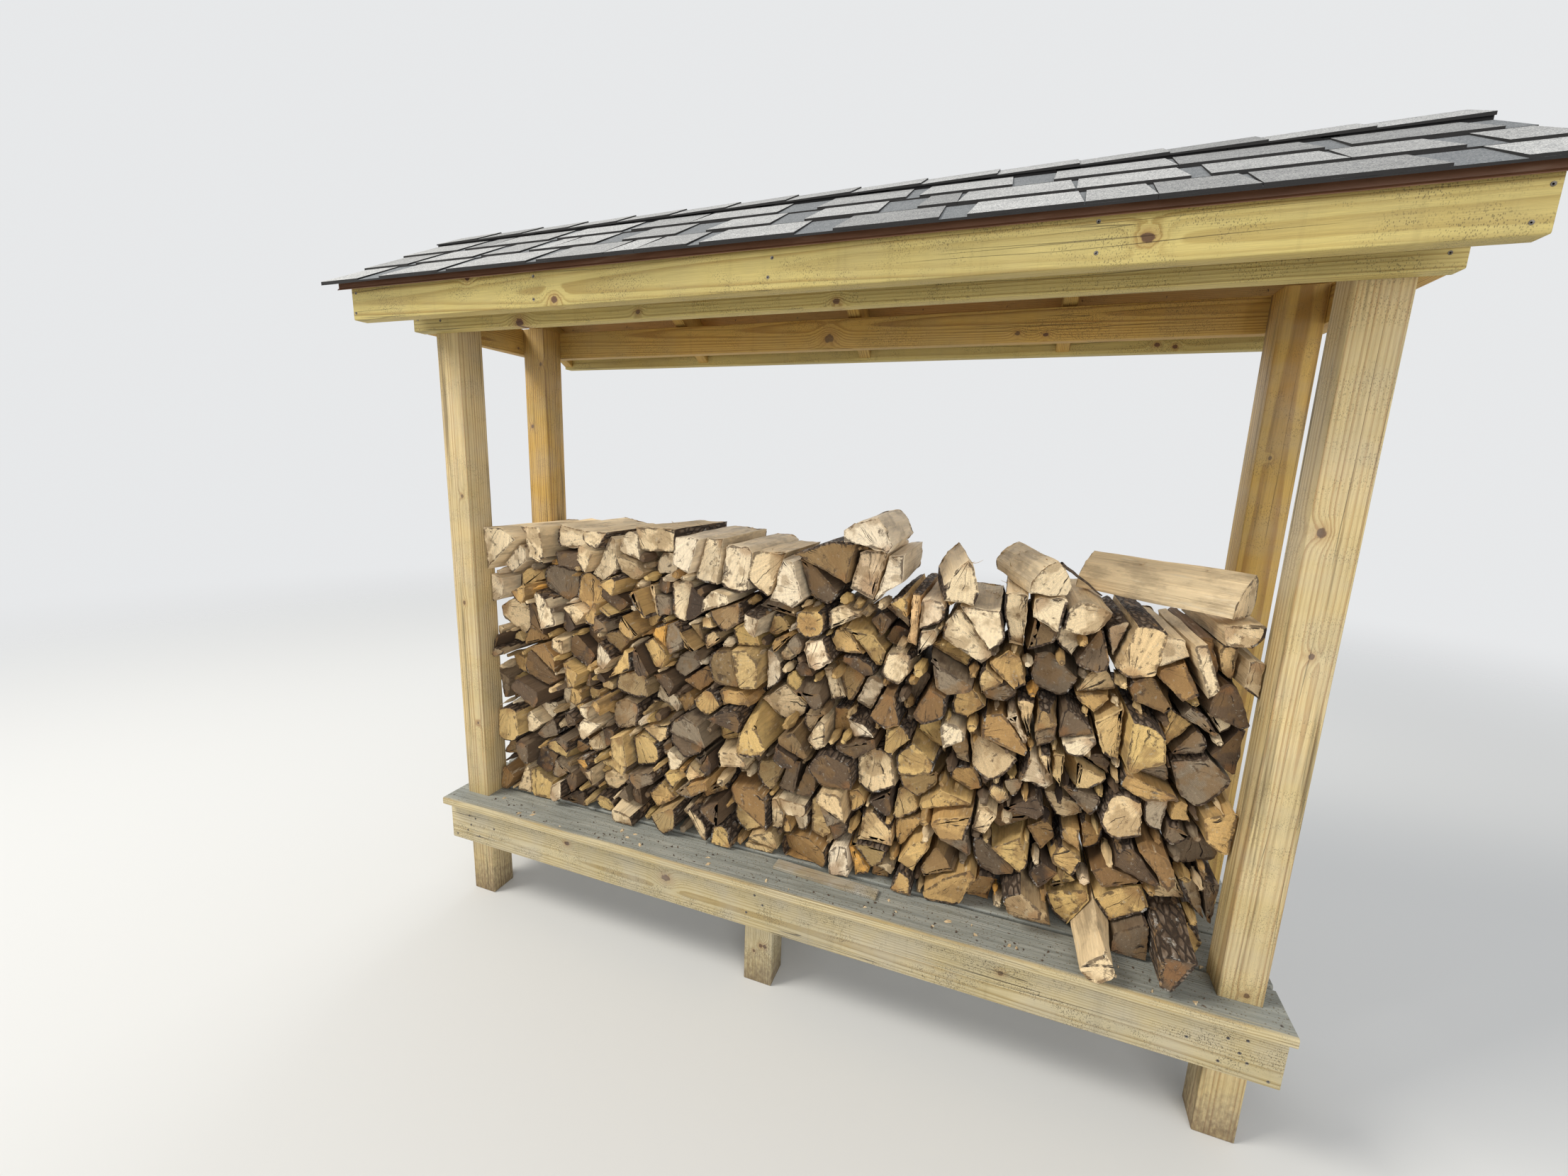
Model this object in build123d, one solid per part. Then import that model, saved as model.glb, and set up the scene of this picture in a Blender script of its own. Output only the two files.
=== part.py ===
from build123d import *
import math
import os
import random

# Log store: an open timber frame on short legs, with a shingled gable roof and a stack of split firewood.
# X runs along the store, Y from its open front (negative) to its open back, Z up from the leg bottoms.

# Lumber
board_length = 2438
post_size = 89
lumber_thickness = 38
frame_board_height = 89
rim_height = 140
deck_board_width = 140
deck_board_thickness = 25
deck_board_rounding = 5

# Frame
rim_lap = 7
frame_depth = 454
leg_clearance = 216
middle_leg_left = 1074
clear_height = 1528
deck_overhang = 31
deck_least_gap = 8
joist_offset = 610
notch_clearance = 0.3

# Roof
roof_pitch = 29
eave_overhang = 146
rafter_spacing = 610
rafter_shift = 20
ridge_board_height = 140
sheathing_thickness = 12
sheathing_end_overhang = 32
sheathing_eave_overhang = 10
birdsmouth_depth = 6.5

# Roof covering
shingle_strip_length = 1000
shingle_joint = 0.6
shingle_stagger = 335
shingle_end_overhang = 38
shingle_eave_overhang = 23
shingle_exposure = 129
shingle_thin = 5
shingle_butt = 10
cap_exposure = 175
cap_half_width = 100
cap_lap = 5
cap_thin = 3.5
cap_butt = 7
flashing_thickness = 1
flashing_flange = 45
flashing_drop = 17
flashing_kick = 5

# Firewood
log_length = 395
log_length_spread = 15
log_setback = 62
log_front_spread = 34
log_gap = 0.3
round_spacing = 124
round_size_spread = 0.2
stack_zones = 6
stack_height = 1020
stack_profile = (0.905, 0.915, 0.93, 0.95, 0.945, 0.91, 0.86, 0.835, 0.825)
proud_logs = ((1.98, 0.32, 0.89), (0.85, 0.32, 0.85), (3.83, 0.36, 0.48))
loose_logs = (
    (1.6, 1.7, 3.05, 1.0, 0.85, -32),
    (3.95, 1.75, 2.9, 0.86, 0.75, -76),
    (5.44, 1.65, 2.75, 0.74, 1.0, -81),
    (7.2, 1.75, 3.0, 1.15, 0.72, -88))
wood_seed = 11

# Levels and lines that follow from these
rim_bottom = leg_clearance
rim_top = rim_bottom + rim_height
deck_top = rim_top + deck_board_thickness
header_bottom = deck_top + clear_height
header_top = header_bottom + frame_board_height
frame_half = board_length / 2 - rim_lap - lumber_thickness
depth_half = frame_depth / 2
outer_half = depth_half + lumber_thickness
slope = math.tan(math.radians(roof_pitch))
steepness = math.cos(math.radians(roof_pitch))
rafter_drop = frame_board_height / steepness
sheathing_drop = sheathing_thickness / steepness
fascia_face = outer_half + eave_overhang + lumber_thickness
sheathing_edge = fascia_face + sheathing_eave_overhang
eave_edge = sheathing_edge + shingle_eave_overhang
cap_course = cap_half_width - cap_lap
visible_courses = round((eave_edge - cap_course) / shingle_exposure)
course_step = (eave_edge - cap_course) / visible_courses
roof_apex = header_top - birdsmouth_depth + rafter_drop + outer_half * slope


def block(x0, x1, y0, y1, z0, z1):
    """A straight board or post between these limits."""
    middle = ((x0 + x1) / 2, (y0 + y1) / 2, (z0 + z1) / 2)
    return Pos(*middle) * Box(x1 - x0, y1 - y0, z1 - z0)


def along_x(outline, x0, x1):
    """A piece with this outline in Y and Z that runs from x0 to x1."""
    face = Plane.YZ.offset(x0) * Polygon(*outline, align=None)
    return extrude(face, amount=x1 - x0, dir=(1, 0, 0))


def along_y(outline, y0, y1):
    """A piece with this outline in X and Z that runs from y0 to y1."""
    face = Plane.XZ.offset(-y0) * Polygon(*outline, align=None)
    return extrude(face, amount=y1 - y0, dir=(0, 1, 0))


def save(node, pieces):
    """Write one piece, or several that do not touch, as one node."""
    shape = pieces[0] if len(pieces) == 1 else Compound(children=list(pieces))
    export_step(shape, f"parts/{node}.step")


def roof_point(side, out, lift):
    """The point this far out from the ridge and this far above the rafters, on one slope."""
    return (side * out, roof_apex - out * slope + lift)


# Posts, legs and base frame

def corner_posts():
    """Four posts that run from the ground through the deck to the top of the headers."""
    for side, x0 in (("left", -frame_half), ("right", frame_half - post_size)):
        for face, y0 in (("front", -depth_half), ("back", depth_half - post_size)):
            post = block(x0, x0 + post_size, y0, y0 + post_size, 0, header_top)
            save(f"post_{face}_{side}", [post])


def middle_legs():
    """Two short legs that carry the long rims near their middle."""
    x0 = middle_leg_left - frame_half
    for face, y0 in (("front", -depth_half), ("back", depth_half - post_size)):
        leg = block(x0, x0 + post_size, y0, y0 + post_size, 0, rim_top)
        save(f"leg_{face}_middle", [leg])


def ring(name, z0, z1):
    """Two long boards on the faces of the posts, and two short ones between them at the ends."""
    end = board_length / 2
    save(f"{name}_front", [block(-end, end, -outer_half, -depth_half, z0, z1)])
    save(f"{name}_back", [block(-end, end, depth_half, outer_half, z0, z1)])
    inner = frame_half
    outer = frame_half + lumber_thickness
    short = "rim" if name == "rim" else "side_beam"
    save(f"{short}_left", [block(-outer, -inner, -depth_half, depth_half, z0, z1)])
    save(f"{short}_right", [block(inner, outer, -depth_half, depth_half, z0, z1)])


def joists():
    """Joists between the long rims: one against the middle legs and one in the middle of each half."""
    middle = middle_leg_left - frame_half + post_size
    starts = [middle - joist_offset, middle, middle + joist_offset]
    save("deck_joists", [
        block(x, x + lumber_thickness, -depth_half, depth_half, rim_bottom, rim_top) for x in starts])


def deck_boards():
    """Rounded boards along the store, notched where they meet the posts."""
    end = board_length / 2
    front = -outer_half - deck_overhang
    count = int((-2 * front + deck_least_gap) / (deck_board_width + deck_least_gap))
    gap = (-2 * front - count * deck_board_width) / (count - 1)
    reach = post_size + 2 * notch_clearance
    for number in range(count):
        y0 = front + number * (deck_board_width + gap)
        board = block(-end, end, y0, y0 + deck_board_width, rim_top, deck_top)
        board = fillet(board.edges().filter_by(Axis.X), deck_board_rounding)
        for x in (-frame_half + post_size / 2, frame_half - post_size / 2):
            for y in (-depth_half + post_size / 2, depth_half - post_size / 2):
                board -= Pos(x, y, deck_top) * Box(reach, reach, 4 * deck_board_thickness)
        save(f"deck_board_{number + 1}", [board])


# Roof frame

def rafter(side, x0):
    """One rafter, plumb cut at the ridge board and at the fascia, with a birdsmouth over the header."""
    inner = lumber_thickness / 2
    outer = fascia_face - lumber_thickness
    outline = [
        roof_point(side, inner, 0),
        roof_point(side, outer, 0),
        roof_point(side, outer, -rafter_drop),
        roof_point(side, inner, -rafter_drop)]
    piece = along_x(outline, x0, x0 + lumber_thickness)
    seat = sorted((side * outer_half, side * inner))
    return piece - block(
        x0 - 1, x0 + lumber_thickness + 1, seat[0], seat[1], header_top - rafter_drop, header_top)


def roof_frame():
    """Rafter pairs, the ridge board between them, and a fascia on the rafter tails."""
    end = board_length / 2
    inner_starts = [
        rafter_shift + step * rafter_spacing - lumber_thickness / 2 for step in (-1, 0, 1)]
    starts = [-end] + inner_starts + [end - lumber_thickness]
    save("rafters_front", [rafter(-1, x) for x in starts])
    save("rafters_back", [rafter(1, x) for x in starts])
    thick = lumber_thickness / 2
    ridge_top = roof_apex - thick * slope
    save("ridge_board", [
        block(-end, end, -thick, thick, ridge_top - ridge_board_height, ridge_top)])
    fascia_top = roof_apex - fascia_face * slope
    for name, side in (("front", -1), ("back", 1)):
        y0, y1 = sorted((side * fascia_face, side * (fascia_face - lumber_thickness)))
        board = block(-end, end, y0, y1, fascia_top - frame_board_height, fascia_top)
        save(f"fascia_{name}", [board])


# Roof covering

def sheathing(side):
    """The board that closes one slope, from the ridge to just past the fascia."""
    end = board_length / 2 + sheathing_end_overhang
    gap = shingle_joint / 2
    outline = [
        roof_point(side, gap, 0),
        roof_point(side, sheathing_edge, 0),
        roof_point(side, sheathing_edge, sheathing_drop),
        roof_point(side, gap, sheathing_drop)]
    return along_x(outline, -end, end)


def drip_edge(side):
    """A bent metal strip over the sheathing's lower edge, with a lip that throws the water clear."""
    end = board_length / 2 + sheathing_end_overhang
    inside = sheathing_edge
    outside = sheathing_edge + flashing_thickness
    top = sheathing_drop + flashing_thickness
    low = roof_point(side, inside, top - flashing_drop)[1]
    kick = flashing_kick
    outline = [
        roof_point(side, inside - flashing_flange, sheathing_drop),
        roof_point(side, inside - flashing_flange, top),
        roof_point(side, outside, top),
        (side * outside, low),
        (side * (outside + kick), low - kick),
        (side * (outside + kick - flashing_thickness), low - kick - flashing_thickness),
        (side * inside, low),
        roof_point(side, inside, sheathing_drop)]
    return along_x(outline, -end, end)


def course_outline(side, number):
    """Section of one course: thick at its lower edge and thin where the next course begins."""
    outer = eave_edge - number * course_step
    base = sheathing_drop
    if number == 0:
        flange_end = sheathing_edge - flashing_flange
        inner = outer - course_step
        raised = base + flashing_thickness
        return [
            roof_point(side, outer, raised),
            roof_point(side, outer, base + shingle_butt),
            roof_point(side, inner, base + shingle_thin),
            roof_point(side, inner, base),
            roof_point(side, flange_end, base),
            roof_point(side, flange_end, raised)]
    inner = outer - course_step if number < visible_courses else shingle_joint / 2
    return [
        roof_point(side, outer, base),
        roof_point(side, outer, base + shingle_butt),
        roof_point(side, inner, base + shingle_thin),
        roof_point(side, inner, base)]


def shingle_course(side, number):
    """One course, in strips with staggered butt joints."""
    end = board_length / 2 + sheathing_end_overhang + shingle_end_overhang
    outline = course_outline(side, number)
    first = -end + shingle_strip_length - (number * shingle_stagger) % shingle_strip_length
    joints = []
    while first < end - shingle_strip_length / 10:
        joints.append(first)
        first += shingle_strip_length
    starts = [-end] + [joint + shingle_joint / 2 for joint in joints]
    stops = [joint - shingle_joint / 2 for joint in joints] + [end]
    return [along_x(outline, x0, x1) for x0, x1 in zip(starts, stops)]


def cap_section(x, thickness):
    """Section of a ridge cap at x: a shallow V that lies on the top courses of both slopes."""
    rise = (shingle_butt - shingle_thin) / cap_course
    low = sheathing_drop + shingle_thin + rise * cap_half_width
    ridge = sheathing_drop + shingle_thin
    outline = [
        roof_point(-1, cap_half_width, low),
        roof_point(-1, 0, ridge),
        roof_point(1, cap_half_width, low),
        roof_point(1, cap_half_width, low + thickness),
        roof_point(1, 0, ridge + thickness),
        roof_point(-1, cap_half_width, low + thickness)]
    return Plane.YZ.offset(x) * Polygon(*outline, align=None)


def ridge_caps():
    """Folded caps along the ridge, each with its thick edge over the thin end of the next."""
    end = board_length / 2 + sheathing_end_overhang + shingle_end_overhang
    count = math.ceil(2 * end / cap_exposure)
    pitch = 2 * end / count
    caps = []
    for number in range(count):
        x0 = -end + number * pitch
        x1 = x0 + pitch - (shingle_joint / 2 if number < count - 1 else 0)
        caps.append(loft([cap_section(x0, cap_thin), cap_section(x1, cap_butt)], ruled=True))
    save("ridge_caps", caps)


def roof_covering():
    """Sheathing, drip edges, shingle courses and caps."""
    for name, side in (("front", -1), ("back", 1)):
        save(f"sheathing_{name}", [sheathing(side)])
        save(f"drip_edge_{name}", [drip_edge(side)])
        for number in range(visible_courses + 1):
            save(f"shingle_course_{name}_{number + 1}", shingle_course(side, number))
    ridge_caps()


# Firewood

def cut(outline, px, pz, nx, nz):
    """What is left of an outline on the near side of a line through p with the outward normal n."""
    kept = []
    for (ax, az), (bx, bz) in zip(outline, outline[1:] + outline[:1]):
        da = (ax - px) * nx + (az - pz) * nz
        db = (bx - px) * nx + (bz - pz) * nz
        if da <= 0:
            kept.append((ax, az))
        if da * db < 0:
            share = da / (da - db)
            kept.append((ax + (bx - ax) * share, az + (bz - az) * share))
    return kept


def area_and_middle(outline):
    """Area and centroid of an outline."""
    area = 0
    mx = 0
    mz = 0
    for (ax, az), (bx, bz) in zip(outline, outline[1:] + outline[:1]):
        cross = ax * bz - bx * az
        area += cross / 2
        mx += (ax + bx) * cross / 6
        mz += (az + bz) * cross / 6
    return area, (mx / area, mz / area)


def stack_top(x):
    """Height of the stack above the deck at x."""
    width = 2 * (frame_half - post_size)
    place = (x / width + 0.5) * (len(stack_profile) - 1)
    step = min(max(int(place), 0), len(stack_profile) - 2)
    share = min(max(place - step, 0), 1)
    return stack_height * (stack_profile[step] * (1 - share) + stack_profile[step + 1] * share)


def round_centres(chance):
    """Uneven rows of places and sizes for the rounds that the firewood was split from."""
    left = -frame_half + post_size
    columns = round(-2 * left / round_spacing)
    pitch = -2 * left / columns
    row_height = pitch * 0.84
    inset = 0.11 * round_spacing
    centres = []
    row = 0
    while row * row_height < stack_height:
        for column in range(columns + row % 2):
            x = left + pitch * (column + (0.5 if row % 2 == 0 else 0.04))
            x = min(max(x + chance.uniform(-0.3, 0.3) * pitch, left + inset), -left - inset)
            z = row_height * (row + 0.5) + chance.uniform(-0.3, 0.3) * row_height
            size = chance.uniform(-1, 1) * round_size_spread * round_spacing ** 2
            if z < stack_top(x) - 0.36 * row_height:
                centres.append((x, max(z, inset), size))
        row += 1
    return centres


def round_outline(centre, centres, tilt):
    """The room that one round has among its neighbours, the posts, the deck and the stack's top."""
    cx, cz, size = centre
    side = frame_half - post_size - log_gap
    reach = 0.8 * round_spacing
    outline = [
        (max(cx - reach, -side), max(cz - reach, log_gap)),
        (min(cx + reach, side), max(cz - reach, log_gap)),
        (min(cx + reach, side), cz + reach),
        (max(cx - reach, -side), cz + reach)]
    for ox, oz, other in centres:
        away = math.hypot(ox - cx, oz - cz)
        if outline and 0 < away < 3 * round_spacing:
            nx = (ox - cx) / away
            nz = (oz - cz) / away
            near = away / 2 + (size - other) / (2 * away) - log_gap / 2
            outline = cut(outline, cx + nx * near, cz + nz * near, nx, nz)
    top = stack_top(cx) + 0.16 * round_spacing
    return cut(outline, cx, top, math.sin(tilt), math.cos(tilt))


def split(outline, chance, pieces_wanted):
    """Split an outline across its middle until it gives the pieces that are wanted."""
    pieces = [outline]
    angle = chance.uniform(0, math.pi)
    while len(pieces) < pieces_wanted:
        pieces.sort(key=lambda piece: -area_and_middle(piece)[0])
        whole = pieces.pop(0)
        area, (mx, mz) = area_and_middle(whole)
        nx = math.cos(angle)
        nz = math.sin(angle)
        shift = chance.uniform(-0.14, 0.14) * math.sqrt(area)
        for way in (1, -1):
            edge = shift - way * log_gap / 2
            pieces.append(cut(whole, mx + nx * edge, mz + nz * edge, way * nx, way * nz))
        angle += math.pi / 2 + chance.uniform(-0.6, 0.6)
    return [piece for piece in pieces if len(piece) > 2]


def corner_angle(outline, index):
    """The angle inside one corner of an outline."""
    before, here, after = outline[index - 1], outline[index], outline[(index + 1) % len(outline)]
    a = math.atan2(before[1] - here[1], before[0] - here[0])
    b = math.atan2(after[1] - here[1], after[0] - here[0])
    return abs((a - b + math.pi) % (2 * math.pi) - math.pi)


def sharpest_corner(outline):
    """The corner where a split piece had its heart."""
    return outline[min(range(len(outline)), key=lambda index: corner_angle(outline, index))]


def bark_arc(outline, heart, radius):
    """Round an outline off to a radius about its heart, in short flats."""
    flats = 20
    for step in range(flats):
        angle = step * math.tau / flats
        nx = math.cos(angle)
        nz = math.sin(angle)
        outline = cut(outline, heart[0] + nx * radius, heart[1] + nz * radius, nx, nz)
    return outline


def chip_corners(outline, chance, depth):
    """Break some of the corners off, as the axe and the weather do."""
    mx, mz = area_and_middle(outline)[1]
    for cx, cz in list(outline):
        if chance.random() < 0.55:
            angle = math.atan2(cz - mz, cx - mx) + chance.uniform(-0.5, 0.5)
            nx = math.cos(angle)
            nz = math.sin(angle)
            bite = chance.uniform(0.3, 1) * depth
            outline = cut(outline, cx - nx * bite, cz - nz * bite, nx, nz)
    return outline


def without_slivers(outline, shortest):
    """The outline without its shortest sides, each replaced by one corner."""
    kept = []
    for point in outline:
        if not kept or math.dist(point, kept[-1]) > shortest:
            kept.append(point)
    if len(kept) > 3 and math.dist(kept[0], kept[-1]) <= shortest:
        kept.pop()
    return kept


def weathered(piece, chance, is_round):
    """One log's end: a round, a split piece with bark on its outer side, or a rough block."""
    middle = area_and_middle(piece)[1]
    if is_round and chance.random() < 0.6:
        far = max(math.dist(middle, point) for point in piece)
        return bark_arc(piece, middle, 0.84 * far)
    if chance.random() < 0.75:
        heart = sharpest_corner(piece)
        far = max(math.dist(heart, point) for point in piece)
        piece = bark_arc(piece, heart, chance.uniform(0.82, 0.94) * far)
        return chip_corners(piece, chance, 0.05 * round_spacing)
    return chip_corners(piece, chance, 0.12 * round_spacing)


def log_outlines():
    """End outlines of all the logs: rounds, halves, quarters and blocks that rest on one another."""
    chance = random.Random(wood_seed)
    centres = round_centres(chance)
    outlines = []
    whole = round_spacing ** 2
    for centre in centres:
        room = round_outline(centre, centres, chance.uniform(-0.5, 0.5))
        if len(room) < 3 or area_and_middle(room)[0] < 0.1 * whole:
            continue
        area = area_and_middle(room)[0]
        wanted = chance.choices((1, 2, 3, 4), weights=(3, 5, 3, 1))[0]
        if area < 0.45 * whole:
            wanted = 1
        elif area > 0.95 * whole:
            wanted = max(wanted, 2)
        for piece in split(room, chance, wanted):
            piece = without_slivers(weathered(piece, chance, wanted == 1), 0.03 * round_spacing)
            if len(piece) > 2 and area_and_middle(piece)[0] > 0.05 * whole:
                outlines.append(piece)
    return outlines


def nearest_outline(outlines, from_right, height):
    """The number of the log whose end lies nearest to a place, in rounds from the right post."""
    x = frame_half - post_size - from_right * round_spacing
    z = height * round_spacing
    return min(
        range(len(outlines)),
        key=lambda number: math.dist((x, z), area_and_middle(outlines[number])[1]))


def firewood():
    """The stack, in upright zones from left to right, with uneven log ends."""
    outlines = log_outlines()
    chance = random.Random(wood_seed + 1)
    ahead = {
        nearest_outline(outlines, from_right, height): far * round_spacing
        for from_right, height, far in proud_logs}
    zones = [[] for _ in range(stack_zones)]
    width = 2 * (frame_half - post_size)
    for number, outline in enumerate(outlines):
        front = log_setback + chance.uniform(-1, 1) * log_front_spread - ahead.get(number, 0)
        back = front + log_length + chance.uniform(-1, 1) * log_length_spread
        lifted = [(x, z + deck_top) for x, z in outline]
        zone = int((area_and_middle(outline)[1][0] / width + 0.5) * stack_zones)
        zone = min(max(zone, 0), stack_zones - 1)
        zones[zone].append(along_y(lifted, front - depth_half, back - depth_half))
    for number, logs in enumerate(zones):
        save(f"log_stack_{number + 1}", logs)
    save("loose_logs", [loose_log(place, outlines) for place in loose_logs])


def resting_line(points, x):
    """The upper edge of a cloud of points at x: the two points that a straight log would rest on."""
    hull = []
    for point in sorted(points):
        while len(hull) > 1:
            (ax, az), (bx, bz) = hull[-2:]
            if (bx - ax) * (point[1] - az) < (bz - az) * (point[0] - ax):
                break
            hull.pop()
        hull.append(point)
    return min(zip(hull, hull[1:]), key=lambda pair: max(pair[0][0] - x, x - pair[1][0]))


def loose_log(place, outlines):
    """A split log on top of the stack, turned from the others and tilted to rest on two of them."""
    from_right, from_front, length, depth, height = [share * round_spacing for share in place[:5]]
    turn = math.radians(place[5])
    x = frame_half - post_size - from_right
    reach = (length * math.cos(turn) - depth * math.sin(turn)) / 2
    below = [cut(cut(outline, x - reach, 0, -1, 0), x + reach, 0, 1, 0) for outline in outlines]
    tops = [point for outline in below for point in outline]
    (ax, az), (bx, bz) = resting_line(tops, x)
    tilt = math.atan2(bz - az, bx - ax)
    z = deck_top + az + math.tan(tilt) * (x - ax) + log_gap / math.cos(tilt)
    half = depth / 2
    outline = [
        (-0.9 * half, 0),
        (0.85 * half, 0),
        (half, 0.3 * height),
        (0.55 * half, 0.8 * height),
        (0.1 * half, height),
        (-0.6 * half, 0.72 * height),
        (-half, 0.35 * height)]
    log = Rot(0, 0, place[5]) * along_x(outline, -length / 2, length / 2)
    return Pos(x, from_front - depth_half, z) * Rot(0, -math.degrees(tilt), 0) * log


os.makedirs("parts", exist_ok=True)
corner_posts()
middle_legs()
ring("rim", rim_bottom, rim_top)
ring("header", header_bottom, header_top)
joists()
deck_boards()
roof_frame()
roof_covering()
firewood()
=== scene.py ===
# %% [markdown]
# # A covered log store
# The object is an open frame of treated pine on short legs, with a shingled gable roof and a stack
# of split firewood. Its solids come in as a fixed frame, and this lesson dresses them: boards with
# eased edges and grain, split logs with bark and rings, laminated shingles, and small fasteners.

# %% Load the frame
import random
from math import cos, degrees, pi, radians, sin, tan

import bmesh
import bpy
from mathutils import Matrix, Vector, noise
from mathutils.bvhtree import BVHTree


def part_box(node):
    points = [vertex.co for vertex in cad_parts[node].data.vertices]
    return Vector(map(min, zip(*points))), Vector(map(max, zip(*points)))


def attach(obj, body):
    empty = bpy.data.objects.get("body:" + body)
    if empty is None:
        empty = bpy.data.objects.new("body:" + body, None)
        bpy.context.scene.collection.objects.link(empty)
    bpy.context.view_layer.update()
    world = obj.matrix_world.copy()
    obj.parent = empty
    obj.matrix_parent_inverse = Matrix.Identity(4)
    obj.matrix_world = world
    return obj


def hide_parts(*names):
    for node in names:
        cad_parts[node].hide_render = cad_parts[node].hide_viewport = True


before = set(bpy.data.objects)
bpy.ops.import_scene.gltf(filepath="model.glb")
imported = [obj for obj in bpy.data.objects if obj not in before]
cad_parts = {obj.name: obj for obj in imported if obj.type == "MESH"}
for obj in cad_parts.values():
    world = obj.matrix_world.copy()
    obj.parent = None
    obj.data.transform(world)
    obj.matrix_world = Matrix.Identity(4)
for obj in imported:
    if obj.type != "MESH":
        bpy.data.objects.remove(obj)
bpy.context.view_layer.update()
scene = bpy.context.scene

# %% [markdown]
# ## Camera
# The store was photographed from its front right corner with a very wide lens, so lines near the
# picture's edges stretch a lot. A camera keeps its place, turn and focal length as plain settings,
# and these were fitted to the corners of posts, deck and roof until the frame lay on the photograph.

# %% Camera at the photograph's angle
camera = bpy.data.objects.new("camera", bpy.data.cameras.new("camera"))
scene.collection.objects.link(camera)
camera.location = (0.5417, -1.7236, 1.5409)
camera.rotation_euler = [radians(angle) for angle in (78.928, -1.831, 20.563)]
camera.data.sensor_width = 36
camera.data.lens = 14.126
camera.data.clip_end = 200
scene.camera = camera
print("camera height", round(camera.location.z, 2), "m, lens", camera.data.lens, "mm")

# %% [markdown]
# ## Helpers for shader nodes
# Each finish is a small network of nodes. Writing every node and link by hand hides the idea of the
# network, so a few helpers place a node, fill its sockets and hand back its output. A filled socket
# is either a plain number or the output of an earlier node.

# %% Helpers for nodes and values
def put(tree, kind, filled, output=0, **settings):
    """Places a node, sets its options and fills its sockets; returns one of its outputs."""
    made = tree.nodes.new(kind)
    for option, value in settings.items():
        setattr(made, option, value)
    for socket, value in filled.items():
        if isinstance(value, bpy.types.NodeSocket):
            tree.links.new(value, made.inputs[socket])
        else:
            made.inputs[socket].default_value = value
    return made.outputs[output]


def maths(tree, operation, *values, use_clamp=False):
    """A Math node on one to three values."""
    return put(tree, "ShaderNodeMath", dict(enumerate(values)), operation=operation, use_clamp=use_clamp)


def plus(tree, first, second):
    """The sum of two values."""
    return maths(tree, "ADD", first, second)


def minus(tree, first, second):
    """The first value less the second."""
    return maths(tree, "SUBTRACT", first, second)


def times(tree, first, second, use_clamp=False):
    """The product of two values."""
    return maths(tree, "MULTIPLY", first, second, use_clamp=use_clamp)


def sloped(tree, value, slope, start):
    """A value times a slope, plus a start."""
    return maths(tree, "MULTIPLY_ADD", value, slope, start)


def vectors(tree, operation, *values):
    """A Vector Math node; lengths and dot products come out of its second output."""
    which = 1 if operation in ("LENGTH", "DOT_PRODUCT") else 0
    return put(tree, "ShaderNodeVectorMath", dict(enumerate(values)), which, operation=operation)


print("helpers for values ready")

# %% [markdown]
# Next come the helpers for places, noise and colours, and those that start a group or a material.

# %% Helpers for patterns, groups and materials
def object_place(tree):
    """Object coordinates: with every piece at the origin, these are the store's own metres."""
    return put(tree, "ShaderNodeTexCoord", {}, "Object")


def axis_of(tree, vector, axis):
    """One number of a vector: 0 for X, 1 for Y, 2 for Z."""
    return put(tree, "ShaderNodeSeparateXYZ", {0: vector}, axis)


def grown(tree, vector, scale, detail=3.0, roughness=0.55):
    """Soft noise from 0 to 1, stretched by a scale for each axis."""
    stretched = vectors(tree, "MULTIPLY", vector, scale)
    filled = {"Vector": stretched, "Scale": 1.0, "Detail": detail, "Roughness": roughness}
    return put(tree, "ShaderNodeTexNoise", filled)


def between(tree, value, low, high):
    """A smooth step from 0 to 1 of a value between two limits."""
    return put(tree, "ShaderNodeMapRange", {0: value, 1: low, 2: high}, interpolation_type="SMOOTHSTEP")


def mixed(tree, share, first, second):
    """Two colours mixed by a share."""
    return put(tree, "ShaderNodeMix", {0: share, 6: first, 7: second}, 2, data_type="RGBA")


def darkened(tree, tone, shade):
    """A colour times a shade."""
    grey = put(tree, "ShaderNodeCombineXYZ", {0: shade, 1: shade, 2: shade})
    return vectors(tree, "MULTIPLY", tone, grey)


def ramp(tree, value, stops):
    """A colour ramp given as (place, colour) stops."""
    colour = put(tree, "ShaderNodeValToRGB", {0: value})
    elements = colour.node.color_ramp.elements
    while len(elements) < len(stops):
        elements.new(0.5)
    for element, (place, tone) in zip(elements, stops):
        element.position = place
        element.color = tone
    return colour


def new_group(name, inputs, outputs):
    """A shader node group with named sockets; returns it, what it is given and what it puts out."""
    group = bpy.data.node_groups.new(name, "ShaderNodeTree")
    for socket, (kind, value) in inputs.items():
        made = group.interface.new_socket(socket, in_out="INPUT", socket_type=f"NodeSocket{kind}")
        made.default_value = value
    for socket, kind in outputs.items():
        group.interface.new_socket(socket, in_out="OUTPUT", socket_type=f"NodeSocket{kind}")
    return group, group.nodes.new("NodeGroupInput").outputs, group.nodes.new("NodeGroupOutput").inputs


def use_group(tree, group, filled):
    """Places a group in a material and returns its outputs by name."""
    return put(tree, "ShaderNodeGroup", filled, node_tree=group).node.outputs


def new_material(name, roughness=0.8, metallic=0.0):
    """A material with one Principled shader; returns the material, its tree and the shader's inputs."""
    material = bpy.data.materials.new(name)
    material.use_nodes = True
    shader = material.node_tree.nodes["Principled BSDF"].inputs
    shader["Roughness"].default_value = roughness
    shader["Metallic"].default_value = metallic
    return material, material.node_tree, shader


def rough_surface(tree, shader, height, distance):
    """Feeds a height map to the shader as a bump."""
    bump = put(tree, "ShaderNodeBump", {"Height": height, "Distance": distance, "Strength": 1.0})
    tree.links.new(bump, shader["Normal"])


print("helpers for patterns and materials ready")

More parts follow.
